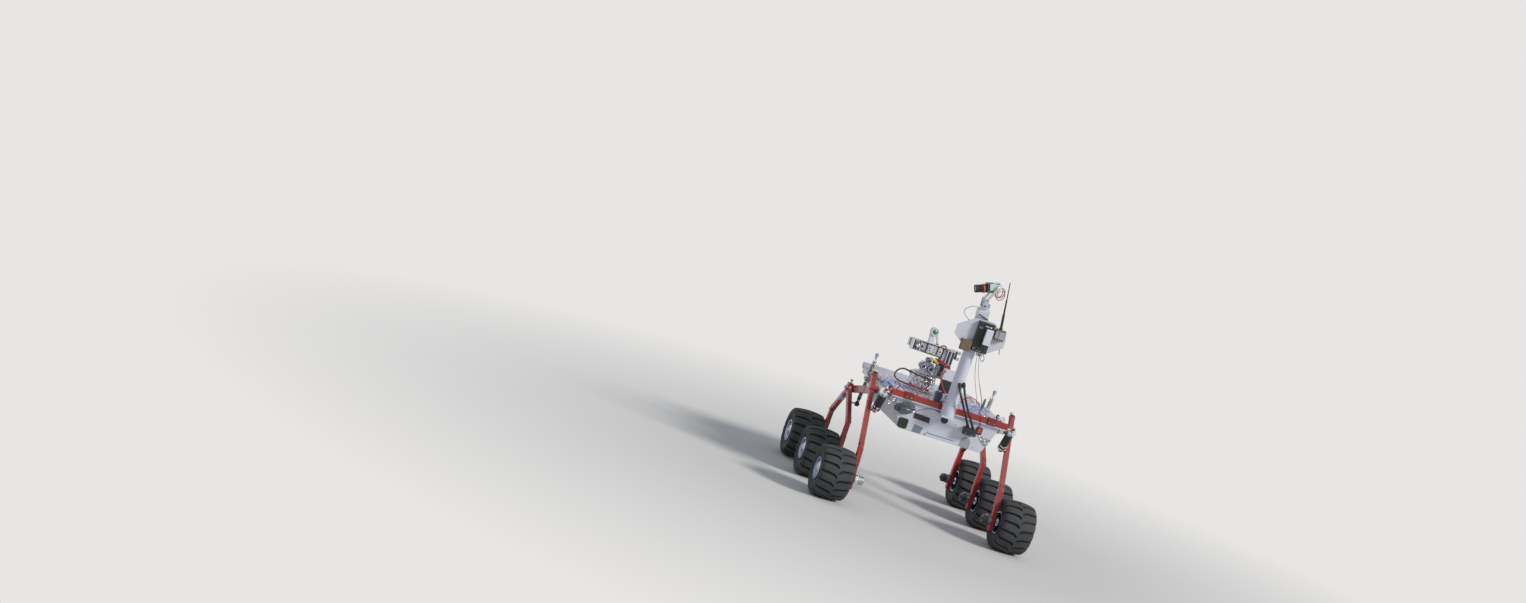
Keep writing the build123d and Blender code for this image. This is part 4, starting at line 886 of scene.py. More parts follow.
def add_limbs(side_name, side):
    """Rockers and bogies of square red tube, with slip sleeves, pivot hubs, bolts and nuts."""
    y = side * LEG_PLANE_Y
    outer = side * (LEG_PLANE_Y + LEG_DEPTH / 2)
    inner = side * (LEG_PLANE_Y - LEG_DEPTH / 2)
    out = Vector((0, side, 0))
    rocker = Piece(f"rocker_tubes_{side_name}")
    for start, end in ((LEG_TOP, LEG_KINK), (LEG_KINK, FRONT_FOOT)):
        tube_run(rocker, start, end, y, LEG_WIDTH, LEG_DEPTH)
    for place in (LEG_TOP, LEG_KINK, FRONT_FOOT):
        knuckle(rocker, place, y, LEG_DEPTH + KNUCKLE_SWELL, LEG_WIDTH / 2)
    knuckle(rocker, (AXLE_X["front"], AXLE_Z), y, LEG_DEPTH + 0.001, KNUCKLE_RADIUS)
    sleeve(rocker, LEG_KINK, FRONT_FOOT, y, 0.0024, "red_paint", (0.03, 0.46))
    sleeve(rocker, LEG_TOP, LEG_KINK, y, 0.0018, "red_shade", (0.93, 0.96))
    beam_y = side * ROCKER_PLANE_Y
    tube_run(rocker, BOGIE_PIVOT, BEAM_JOINT, beam_y, ROCKER_WIDTH, ROCKER_DEPTH)
    knuckle(rocker, BOGIE_PIVOT, beam_y, ROCKER_DEPTH + KNUCKLE_SWELL, ROCKER_WIDTH / 2)
    tube_run(rocker, BOGIE_PIVOT, BEAM_JOINT, beam_y, ROCKER_WIDTH + 0.002, ROCKER_DEPTH + 0.0012,
        "red_shade", (0.52, 0.61))
    knuckle(rocker, BEAM_JOINT, side * BEAM_KNUCKLE_Y, BEAM_KNUCKLE_DEPTH, KNUCKLE_RADIUS)
    rocker.done("red_paint", [f"rocker_{side_name}"], bevel=0.004, segments=3)
    bogie = Piece(f"bogie_tubes_{side_name}")
    for limb in (BOGIE_FRONT, BOGIE_REAR):
        for start, end in zip(limb, limb[1:]):
            tube_run(bogie, start, end, y, LEG_WIDTH, LEG_DEPTH)
        for place in limb[1:]:
            knuckle(bogie, place, y, LEG_DEPTH + KNUCKLE_SWELL, LEG_WIDTH / 2)
        sleeve(bogie, limb[1], limb[2], y, 0.0024, "red_paint", (0.3, 0.6))
        sleeve(bogie, limb[0], limb[1], y, 0.002, "red_shade", (0.9, 0.94))
    for axle in ("middle", "rear"):
        knuckle(bogie, (AXLE_X[axle], AXLE_Z), y, LEG_DEPTH + 0.001, KNUCKLE_RADIUS)
    x, z = BOGIE_PIVOT
    half_x, half_z = BOGIE_HUB[0] / 2, BOGIE_HUB[1] / 2
    # The hub block's lighter red is painted sunlight on the red paint.
    bogie.box((x - half_x, y - LEG_DEPTH / 2 - 0.0006, z - half_z),
        (x + half_x, y + LEG_DEPTH / 2 + 0.0006, z + half_z), "red_bright_and_lit")
    # This sleeve is pale violet, a painted shade tone.
    sleeve(bogie, BOGIE_PIVOT, BOGIE_REAR[1], y, 0.0016, "lavender_painted_shade", (0.3, 0.46))
    bogie.done("red_paint", [f"bogie_{side_name}"], bevel=0.004, segments=3)
    bolts = Piece(f"limb_bolts_{side_name}")
    for place, radius in ((LEG_TOP, 0.007), (LEG_KINK, 0.005), (BOGIE_FRONT[1], 0.0055),
            (BOGIE_REAR[1], 0.0055), (BEAM_JOINT, 0.0085)):
        bolts.bolt((place[0], outer + side * 0.0006, place[1]), out, radius, "nut_blue")
    for place in (LEG_TOP, LEG_KINK, BOGIE_FRONT[1], BOGIE_REAR[1]):
        bolts.bolt((place[0], inner - side * 0.0006, place[1]), -out, 0.0055, "nut_blue")
    for start, end, shares in ((LEG_KINK, FRONT_FOOT, (0.1, 0.4)),
            (BOGIE_FRONT[1], BOGIE_FRONT[2], (0.34, 0.56)), (BOGIE_REAR[1], BOGIE_REAR[2], (0.34, 0.56)),
            (LEG_TOP, LEG_KINK, (0.38, 0.62))):
        for share in shares:
            spot = between(start, end, share)
            for face, way in ((outer + side * 0.0012, out), (inner - side * 0.0012, -out)):
                bolts.bolt((spot[0], face, spot[1]), way, 0.0034, "steel")
    for sx, sz in SIGNS:
        bolts.bolt((x + sx * 0.01, outer + side * 0.0006, z + sz * 0.021), out, 0.0036, "steel")
    bolts.bolt((x, side * HUB_BOLT_Y, z), out, 0.0095, "nut_blue")
    bolts.rod((x, y, z + half_z), (x, y, z + half_z + 0.012), 0.0042, "steel")
    # The cap is white in painted shade.
    bolts.turned((x, y, z + half_z + 0.011), UP, profile(0, 8, 4, 8.5, 9, 6.6, 11, 2), "lavender_painted_shade", 20)
    for sx in (-1, 1):
        seat = (x + sx * (half_x + 0.004), y, z + 0.004)
        bolts.rod((x + sx * half_x, y, z + 0.004), seat, 0.0105, "steel")
        bolts.bolt(seat, (sx, 0, 0), 0.0078, "nut_blue", False)
    bolts.turned((LEG_TOP[0], y, LEG_TOP[1] + LEG_WIDTH / 2 - 0.001), UP,
        profile(0, 17.5, 2.6, 19.5, 3, 16.5), "steel", 32)
    bolts.done("steel")
    dome = Piece(f"leg_dome_{side_name}")
    top = Vector((LEG_TOP[0], y, LEG_TOP[1] + LEG_WIDTH / 2))
    dome.turned(top, UP, profile(0, 18, 1, 20, 4, 20, 7.5, 18, 10.5, 14, 12.8, 8, 13.6, 0), "cap_white", 40)
    dome.done("white_plastic", ["leg_caps"])


def add_drives():
    """Drive motors on the feet: gearbox with its screws, can, end cap and terminals."""
    for side_name, side in SIDES.items():
        for axle in AXLES:
            motor = Piece(f"drive_motor_{axle}_{side_name}")
            inner = Vector((AXLE_X[axle], side * LEG_INNER_Y, AXLE_Z))
            bright = axle == "front" and side < 0
            case, can = ("chrome", "steel") if bright else ("steel_dark", "motor_dark")
            way = Vector((0, -side, 0))
            motor.turned(inner, way, profile(0, 24.8, 1.2, 25, 4, 25, 4.4, 24, 6, 24, 6.4, 25, 16.6, 25,
                18, 23.6), case, 40)
            motor.turned(inner + way * 0.018, way, profile(0, 23.4, 13.5, 23.4, 14, 22.5, 17, 22.5,
                17.5, 23.4, 27, 23.4, 30, 20.5, 30, 8.5, 36.2, 8, 37.5, 6.8, 37.5, 0), can, 40)
            for x, z in circle(6, 0.5):
                spot = inner + way * 0.048 + Vector((0.016 * x, 0, 0.016 * z))
                motor.screw(spot - way * 0.0006, way, 0.0017, "chrome")
            plug = inner + way * 0.03 + Vector((0, 0, 0.0195))
            motor.box(plug - Vector((0.007, 0.006, 0.002)), plug + Vector((0.007, 0.006, 0.007)),
                "nut_blue")
            motor.done("steel", ["drive_motors"], bevel=0.0004)


def add_struts(side_name, side):
    """Rings, clamp, ball and lower fork of the tan struts."""
    low, ball = (Vector((x, side * STRUT_Y, z)) for x, z in (STRUT_FOOT, STRUT_BALL))
    up = (ball - low).normalized()
    full = (ball - low).length
    tube = Piece(f"strut_tube_{side_name}")
    tube.turned(low + up * 0.042, up, profile(0, 9.2, 1.5, 10, 120, 10, 120.5, 9.4, 122.5, 9.4, 123, 10,
        220.5, 10, 222, 9.4), "tan_anodised", 32)
    if side > 0:
        tube.turned(low + up * 0.18, up, profile(0, 10.4, 1, 11.8, 20, 11.8, 21, 10.8, 24, 10.8, 25, 12,
            48, 12, 49, 10.8, 52, 10.8, 53, 11.6, 66, 11.6, 67, 10.4), "tape_silver", 32)
    tube.done("tan_anodised", ["strut_tubes"])
    head = Piece(f"strut_head_{side_name}")
    head.turned(low + up * 0.25, up, profile(0, 10.4, 1, 11.8, 12, 12, 13.5, 13, 21.5, 13, 22.8, 10.5,
        23.2, 6), "chrome", 32)
    head.turned(low + up * 0.2725, up, [(0, 0.0045), (full - 0.2725 - 0.0185, 0.0045)], "chrome", 20)
    head.turned(low + up * (full - 0.0205), up, profile(0, 5.2, 1, 7.5, 8, 7.8, 10, 6), "steel", 24)
    ball_rings = []
    for i in range(13):
        angle = -1.15 + (math.pi / 2 + 1.15) * i / 12
        ball_rings.append((0.011 * (1 + math.sin(angle)), max(0.011 * math.cos(angle), 0.0)))
    # The ball is white in painted shade.
    head.turned(low + up * (full - 0.011), up, ball_rings, "lavender_painted_shade", 28)
    head.done("chrome", ["strut_rods"])
    fork = Piece(f"strut_fork_{side_name}")
    fork.turned(low + up * 0.006, up, profile(0, 8, 20, 8, 21, 9.2, 30, 9.2, 31, 11.2, 37, 11.2, 38, 9.4),
        "black_plastic", 28)
    fork.turned(low + up * 0.0215, up, profile(0, 9.4, 1, 9.7, 5, 9.7, 6, 9.4), "nut_blue", 28)
    out = Vector((0, side, 0))
    left = Vector(LEFT)
    fork.rod(low - left * 0.01, low + left * 0.01, 0.013, "black_plastic", 28, 0.0015)
    fork.rod(low, low + out * 0.038, 0.0045, "steel", 16)
    fork.bolt(low - out * 0.01, -out, 0.0055, "nut_blue")
    fork.done("black_plastic", ["strut_ends"])
    seat = low + (ball - low) * ((STRUT_CLAMP_Z - low.z) / (ball.z - low.z))
    clamp = Piece(f"strut_clamp_rings_{side_name}")
    for shift, wide, long, material in ((-0.0205, 13.8, 7, "chrome"), (0.013, 13.8, 7, "chrome"),
            (0.0215, 12.2, 4, "steel")):
        clamp.turned(seat + up * shift, up, profile(0, 10.5, 0.5, wide, long, wide, long + 0.5, 10.5),
            material, 32)
    for dx in (-0.014, 0.014):
        clamp.bolt(seat + Vector((dx, side * 0.015, 0)), (0, side, 0), 0.0042, "nut_blue")
    for share, reach in ((0.03, -1), (0.036, 1)):
        spot = seat + up * share
        clamp.rod(spot, spot + Vector((reach * 0.019, 0, 0)), 0.0046, "steel", 14)
        clamp.bolt(spot + Vector((reach * 0.019, 0, 0)), (reach, 0, 0), 0.0068, "nut_blue")
    clamp.done("steel")


def add_dampers(side_name, side):
    """Canister dampers: rimmed chrome cap, black body, rings at the foot, and the red eyes' bolts."""
    top = Vector((DAMPER_TOP[0], side * DAMPER_Y, DAMPER_TOP[1]))
    down = DAMPER_DOWN
    cap = Piece(f"damper_cap_{side_name}")
    cap.turned(top + down * 0.012, down, profile(0, 16, 0.8, 24, 2, 26.8, 5.2, 27, 6.2, 24.8, 10, 24.6,
        11, 26.2, 16, 26.2, 18, 22.8), "chrome", 48)
    for shift, outline, material in ((0.0305, profile(0, 22.6, 1, 24, 9, 24, 10, 22.6), "nut_blue"),
            (0.118, profile(0, 22.2, 0.5, 23.4, 6, 23.4, 6.5, 22.2), "chrome"),
            (0.137, profile(0, 22.2, 0.8, 23.5, 9, 23.5, 11, 19), "chrome")):
        cap.turned(top + down * shift, down, outline, material, 48)
    cap.turned(top + down * 0.012, -down, profile(0, 9.5, 3, 9.5, 3.5, 7.5), "steel", 24)
    across = down.cross(Vector(LEFT))
    cap.bolt(top + down * 0.126 + across * 0.0222, across, 0.0038, "chrome")
    cap.done("chrome", ["damper_caps"])
    can = Piece(f"damper_can_{side_name}")
    can.turned(top + down * 0.029, down, profile(0, 21.8, 30, 21.8, 30.4, 21.3, 31.6, 21.3, 32, 21.8,
        90, 21.8, 90.5, 22.8, 106, 22.8, 108, 21.5), "black_plastic", 48)
    can.done("black_plastic", ["damper_bodies"])
    eye = Piece(f"damper_bolts_{side_name}")
    for spot, radius in ((top, 0.0062), (top + down * 0.16, 0.0055)):
        for way, size in ((side, radius), (-side, radius * 0.9)):
            eye.bolt(spot + Vector((0, way * 0.008, 0)), (0, way, 0), size, "chrome")
    eye.turned(top - down * 0.0085, -down, profile(0, 6.8, 4, 7.2, 8, 5, 9.5, 0), "cap_white", 20)
    eye.done("steel")


# Deck and body


def add_body():
    """Moulded tub with soft corners, screws along its rails, and a hatch at the back."""
    low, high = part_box("body_tub")
    tub = Piece("tub_shell")
    half_low, half_high, corner = 0.238, high.y, 0.022
    outline = []
    slope = (half_high - half_low) / (high.z - low.z)
    side_angle = math.atan2(1, slope)
    for sign in (1, -1):
        centre_y = half_low - corner * (1 / math.tan((math.pi - side_angle) / 2))
        arc = []
        for i in range(7):
            angle = -math.pi / 2 + (math.pi / 2 - math.atan(slope)) * i / 6
            arc.append((centre_y + corner * math.cos(angle), low.z + corner + corner * math.sin(angle)))
        points = arc + [(half_high, high.z)]
        outline += points if sign > 0 else [(-p, q) for p, q in reversed(points)]
    tub.prism(outline, high.x - low.x, "white_paint", upright_frame(low.x))
    tub.done("white_paint", ["body_tub"], bevel=0.004, segments=4, smooth=30)
    trim = Piece("rail_screws")
    for side in SIDES.values():
        for i in range(13):
            trim.screw((-0.36 + 0.06 * i, side * RAIL_FACE_Y, RAIL_SCREW_Z), (0, side, 0), 0.0036, "steel")
        for dx in (-0.019, 0.019):
            for dz in (-0.019, 0.01):
                trim.bolt((0.04 + dx, side * 0.333, 0.553 + dz), (0, side, 0), 0.004, "steel")
    trim.done("steel")
    back = Piece("rear_hatch")
    x = low.x
    turn = upright_frame(x, -1)
    back.prism(rounded(-0.15, 0.15, 0.486, 0.58, 0.014, 6), 0.0035, "white_paint", turn)
    back.prism(rounded(-0.035, 0.035, 0.566, 0.574, 0.003), 0.009, "grey_plastic", turn)
    for y in (-0.138, 0.0, 0.138):
        for z in (0.496, 0.57):
            if y or z < 0.5:
                back.screw((x - 0.0035, y, z), BACK, 0.0036, "steel")
    for y in (-0.2, 0.2):
        back.turned((x, y, 0.545), BACK, profile(0, 16.5, 6, 16.5, 7.5, 15, 7.5, 10.5, 3, 10, 3, 0),
            "black_plastic", 36)
    back.done("white_paint", bevel=0.0008)


def add_beams():
    """Clamp blocks and end caps on the front beam, the deck's sheet, the rear beam, and nuts."""
    low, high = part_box("front_beam")
    blocks = Piece("clamp_blocks")
    for side in SIDES.values():
        y = side * CLAMP_BLOCK_Y
        blocks.box((low.x - 0.0004, y - 0.0234, low.z), (high.x + 0.0006, y + 0.0234, high.z + 0.0006),
            "red_shade")
        for dy in (-0.014, 0.014):
            blocks.bolt((0.385, y + dy, high.z + 0.0006), UP, 0.0044, "steel")
            blocks.screw((high.x + 0.0006, y + dy, low.z + 0.012), AHEAD, 0.003, "steel")
        y_end = side * BEAM_END_Y
        blocks.box((0.3738, min(y_end, y_end + side * 0.0016), 0.6148),
            (0.3962, max(y_end, y_end + side * 0.0016), 0.6452), "red_shade")
    blocks.done("red_paint", bevel=0.0016, segments=3)
    low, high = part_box("deck_plate")
    sheet = Piece("deck_sheet")
    sheet.box(low, high, "white_paint")
    for i in range(9):
        for x in (-0.375, -0.205):
            sheet.screw((x, -0.28 + 0.07 * i, high.z), UP, 0.0036, "steel")
    sheet.box((-0.34, -0.23, high.z), (-0.24, 0.23, high.z + 0.0025), "white_paint")
    for y in (-0.215, 0.0, 0.215):
        for x in (-0.33, -0.25):
            sheet.screw((x, y, high.z + 0.0025), UP, 0.0042, "steel")
    sheet.done("white_paint", ["deck_plate"], bevel=0.0006)
    low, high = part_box("rear_beam")
    rear = Piece("rear_crossbar")
    rear.box(low, high, "white_paint")
    rear.done("white_paint", ["rear_beam"], bevel=0.003, segments=3)
    nuts = Piece("beam_nuts")
    for x, y, z, radius in ((0.386, -0.302, 0.646, 0.0058), (0.386, -0.284, 0.646, 0.004),
            (0.385, 0.296, 0.646, 0.006), (0.385, 0.18, 0.646, 0.0036), (0.385, -0.17, 0.646, 0.0036)):
        nuts.bolt((x, y, z), UP, radius, "nut_blue")
    for y in (-0.25, -0.1, 0.1, 0.25):
        nuts.bolt((-0.385, y, 0.646), UP, 0.0042, "steel")
    nuts.rod((0.385, -0.306, 0.646), (0.385, -0.306, 0.664), 0.0034, "red_bright_and_lit", 12)
    nuts.tube(route(384, -308, 660, 392, -296, 668, 398, -280, 662, 400.5, -270, 650, 400.5, -262, 640),
        0.0022, "cable_red", 8)
    nuts.done("steel")


def add_deck_items():
    """Blocks beside the mast, scraps of foil at the deck's corners, nuts and the switch's wire."""
    items = Piece("deck_blocks")
    items.box((0.344, -0.0945, 0.645), (0.368, -0.062, 0.699), "blue_block")
    items.box((0.35, -0.09, 0.6985), (0.362, -0.068, 0.704), "white_plastic")
    items.box((0.3675, -0.0905, 0.664), (0.37, -0.068, 0.69), "navy")
    items.done("black_plastic", bevel=0.0016)
    pack = Piece("white_pack")
    low, high = Vector((0.346, -0.06, 0.645)), Vector((0.371, -0.024, 0.697))
    crumple = Crumple(61)

    def wrap(u, v, draw):
        around = 2 * math.pi * v
        along = math.pi * u
        r = min(1.0, math.sin(along) * 1.9)
        square = 1 / max(abs(math.cos(around)), abs(math.sin(around)))
        fold = r * (1 + (square - 1) * 0.75) * (1 - draw(0.0, 0.12))
        middle = (low + high) / 2
        half = (high - low) / 2
        return Vector((middle.x + half.x * fold * math.cos(around),
            middle.y + half.y * fold * math.sin(around),
            low.z + (high.z - low.z) * (0.5 - 0.5 * math.cos(along))))

    crumple.grid(pack, 9, 14, wrap, "foil", wrap=True)
    bmesh.ops.remove_doubles(pack.mesh, verts=pack.mesh.verts, dist=0.0005)
    pack.done("foil", smooth=15)
    scraps = Piece("foil_scraps")
    # The last scrap is painted blue, a painted reflection of the sky.
    for seed, material, corners, rise in ((71, "white_plastic",
            ((0.371, 0.268, 0.647), (0.364, 0.268, 0.667), (0.371, 0.318, 0.645), (0.361, 0.312, 0.675)),
            0.009), (73, "foil", ((0.3835, -0.33, 0.606), (0.3835, -0.302, 0.606), (0.387, -0.332, 0.562),
            (0.387, -0.308, 0.556)), 0.006), (79, "foil", ((0.33, -0.318, 0.64), (0.372, -0.318, 0.64),
            (0.325, -0.334, 0.618), (0.376, -0.331, 0.62)), 0.006),
            (83, "foil_sky_reflection", ((0.15, -0.318, 0.64), (0.29, -0.318, 0.642), (0.165, -0.337, 0.622),
            (0.285, -0.338, 0.62)), 0.007)):
        a, b, c, d = (Vector(p) for p in corners)
        away = (b - a).cross(c - a).normalized()
        if away.x + away.z < 0:
            away = -away

        def scrap(u, v, draw):
            return a.lerp(b, u).lerp(c.lerp(d, u), v) + away * draw(0.0, rise)

        Crumple(seed).grid(scraps, 7, 5, scrap, material)
    thicken(scraps.done("foil", smooth=10), SCRAP_THICKNESS)
    bits = Piece("deck_bits")
    for x, y, z, radius in ((0.1, 0.256, 0.651, 0.007), (0.1, 0.284, 0.65, 0.0085),
            (0.118, 0.3, 0.649, 0.006), (0.04, 0.292, 0.65, 0.006), (-0.12, 0.296, 0.65, 0.006),
            (0.06, -0.296, 0.65, 0.006), (-0.13, -0.2, 0.65, 0.005)):
        bits.bolt((x, y, z), UP, radius, "chrome")
    bits.rod((0.1, 0.284, 0.655), (0.1, 0.284, 0.676), 0.004, "chrome", 14)
    bits.rod((0.112, 0.252, 0.646), (0.112, 0.252, 0.7), 0.0068, "steel_dark", 18, 0.0015)
    bits.rod((0.112, 0.252, 0.7), (0.112, 0.252, 0.709), 0.0042, "cable_grey", 14)
    bits.tube(route(360, 268, 646, 358, 262, 662, 357, 268, 674, 360, 276, 668), 0.0042, "cable_violet", 10)
    bits.tube(route(382, -190, 556, 385, -165, 568, 386, -141.5, 585, 386, -115, 598, 386, -93, 603,
        385, -61, 601.5, 383, -34, 599), 0.0012, "cable_violet", 8)
    bits.turned((0.1, 0.284, 0.668), UP, profile(0, 6.8, 6, 6.8, 8, 4), "nut_blue", 6)
    bits.tube(route(368, 160, 652, 376, 162, 655, 390, 166, 651.5, 399.5, 169, 645, 400.5, 173, 625,
        398.5, 177, 609, 384.5, 182, 600, 382.8, 186, 592, 383.6, 188, 584), 0.0019, "cable_red", 8)
    bits.done("steel", bevel=0.0003)


# Foil


class Crumple:
    """Random heights for facets of foil; the same each run."""

    def __init__(self, seed):
        self.random = random.Random(seed)

    def grid(self, piece, rows, columns, place, material, wrap=False, keep=None):
        """Triangles over a grid of points; place(u, v, draw) gives each point."""
        verts = []
        for i in range(rows + 1):
            line = []
            for j in range(columns if wrap else columns + 1):
                line.append(piece.mesh.verts.new(place(i / rows, j / columns, self.random.uniform)))
            verts.append(line)
        faces = []
        for i in range(rows):
            for j in range(columns):
                k = (j + 1) % len(verts[i]) if wrap else j + 1
                a, b, c, d = verts[i][j], verts[i + 1][j], verts[i + 1][k], verts[i][k]
                middle = (a.co + c.co) / 2
                if keep is not None and not keep(middle):
                    continue
                if self.random.random() < 0.5:
                    faces += [piece.mesh.faces.new((a, b, c)), piece.mesh.faces.new((a, c, d))]
                else:
                    faces += [piece.mesh.faces.new((a, b, d)), piece.mesh.faces.new((b, c, d))]
        piece.paint(faces, material)
        loose = [v for line in verts for v in line if not v.link_faces]
        bmesh.ops.delete(piece.mesh, geom=loose, context="VERTS")


def add_deck_foil():
    """Crumpled foil cover over the front of the deck, open round the drum and the arm's controller."""
    (x0, x1), (y0, y1) = FOIL_X, FOIL_Y
    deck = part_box("deck_plate")[1].z
    drum = centre("arm_drum")
    drum_radius = (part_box("arm_drum")[1].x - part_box("arm_drum")[0].x) / 2
    box_low, box_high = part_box("controller_box")
    hole_low = Vector((box_low.x - FOIL_GAP, box_low.y - 0.008))
    hole_high = Vector((box_high.x + FOIL_GAP, box_high.y + 0.008))

    def rise(x, y):
        total = 0.0
        for fold_x, fold_y, reach, top in FOIL_FOLDS:
            away = ((x - fold_x) ** 2 + (y - fold_y) ** 2) / reach**2
            total += top * math.exp(-away)
        return total

    def place(u, v, draw):
        skirt_u = min(u, 1 - u) * FOIL_ROWS
        skirt_v = min(v, 1 - v) * FOIL_COLUMNS
        step_x = (x1 - x0) / (FOIL_ROWS - 2)
        step_y = (y1 - y0) / (FOIL_COLUMNS - 2)
        x = min(max(x0 + (u * FOIL_ROWS - 1) * step_x, x0), x1)
        y = min(max(y0 + (v * FOIL_COLUMNS - 1) * step_y, y0), y1)
        if skirt_u < 0.5 or skirt_v < 0.5:
            return Vector((x, y, deck + FOIL_GAP))
        if skirt_u < 1.5 or skirt_v < 1.5:
            inset = draw(0.0, 0.004)
            x = min(max(x, x0 + inset), x1 - inset)
            y = min(max(y, y0 + inset), y1 - inset)
            return Vector((x, y, FOIL_TOP - draw(0.003, 0.01) + 0.7 * rise(x, y)))
        pleat = noise.noise(Vector((x * 7.0, y * 34.0, 3.1)))
        x += draw(-0.3, 0.3) * step_x
        y += draw(-0.3, 0.3) * step_y
        lift = rise(x, y) * (1 + 0.5 * pleat)
        return Vector((x, y, FOIL_TOP - FOIL_DEPTH * (0.5 - 0.5 * pleat) - draw(0.0, 0.0028) + lift))

    def keep(middle):
        if (Vector((middle.x, middle.y)) - Vector((drum.x, drum.y))).length < drum_radius - 0.004:
            return False
        return not (hole_low.x < middle.x < hole_high.x and hole_low.y < middle.y < hole_high.y)

    foil = Piece("deck_foil_cover")
    Crumple(11).grid(foil, FOIL_ROWS, FOIL_COLUMNS, place, "foil", keep=keep)
    # Faces near these spots are painted blue, a painted reflection of the sky.
    blue = foil.index("foil_sky_reflection")
    for face in foil.mesh.faces:
        spot = face.calc_center_median()
        for sky_x, sky_y, reach in FOIL_SKY:
            wobble = 1 + 0.5 * noise.noise(spot * 30.0)
            if (spot.x - sky_x) ** 2 + (spot.y - sky_y) ** 2 < (reach * wobble) ** 2:
                face.material_index = blue
    thicken(foil.done("foil", ["deck_foil"], smooth=8), FOIL_THICKNESS)


def add_drum_foil():
    """The arm's drum in its foil wrap, tied with a cord."""
    low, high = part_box("arm_drum")
    middle = centre("arm_drum")
    radius = (high.x - low.x) / 2
    tall = high.z - low.z

    def side(u, v, draw):
        angle = 2 * math.pi * v
        pinch = 0.0035 * math.exp(-((u - 0.62) / 0.05) ** 2)
        r = radius - 0.0004 - draw(0.0, 0.0048) - pinch
        if u in (0, 1):
            r = radius - 0.004
        return middle + Vector((r * math.cos(angle), r * math.sin(angle), (u - 0.5) * tall))

    def lid(u, v, draw):
        angle = 2 * math.pi * v
        r = (radius - 0.004) * u
        drop = 0.0002 if u > 0.99 else draw(0.0002, 0.0035)
        return Vector((middle.x + r * math.cos(angle), middle.y + r * math.sin(angle), high.z - drop))

    foil = Piece("drum_foil")
    # The wrap's side has brown patches, a painted reflection of the ground.
    Crumple(23).grid(foil, 7, 30, side, "foil_ground_reflection", wrap=True)
    Crumple(29).grid(foil, 5, 24, lid, "foil", wrap=True)
    bmesh.ops.remove_doubles(foil.mesh, verts=foil.mesh.verts, dist=0.0001)
    exit_spot, heading = cable_end("deck_cable", False)
    foil.rod(exit_spot, exit_spot + heading * 0.02, 0.0045 + GLAND_WALL, "black_plastic")
    foil.done("foil", ["arm_drum"], smooth=8)
    cord = Piece("drum_tie")
    points = []
    for i in range(19):
        angle = math.radians(-150 + 10.5 * i)
        wave = 0.0016 * math.sin(2.3 * i)
        points.append((middle.x + (radius + 0.0005) * math.cos(angle),
            middle.y + (radius + 0.0005) * math.sin(angle), high.z - 0.0075 - 0.00035 * i + wave))
    cord.tube(points, 0.0036, "loom", 10)
    cord.done("cable_red", smooth=60)


# The tub's front


def panel_plate(piece, corners, x, thick, material):
    """A flat patch on the tub's front from (y, z) corners."""
    return piece.prism(corners, thick, material, upright_frame(x))


def rounded(y0, y1, z0, z1, radius, steps=4):
    """Corners of a rectangle with round corners."""
    points = []
    for cy, cz, turn in ((y1 - radius, z1 - radius, 0), (y0 + radius, z1 - radius, 1),
            (y0 + radius, z0 + radius, 2), (y1 - radius, z0 + radius, 3)):
        for i in range(steps + 1):
            angle = math.pi / 2 * (turn + i / steps)
            points.append((cy + radius * math.cos(angle), cz + radius * math.sin(angle)))
    return points


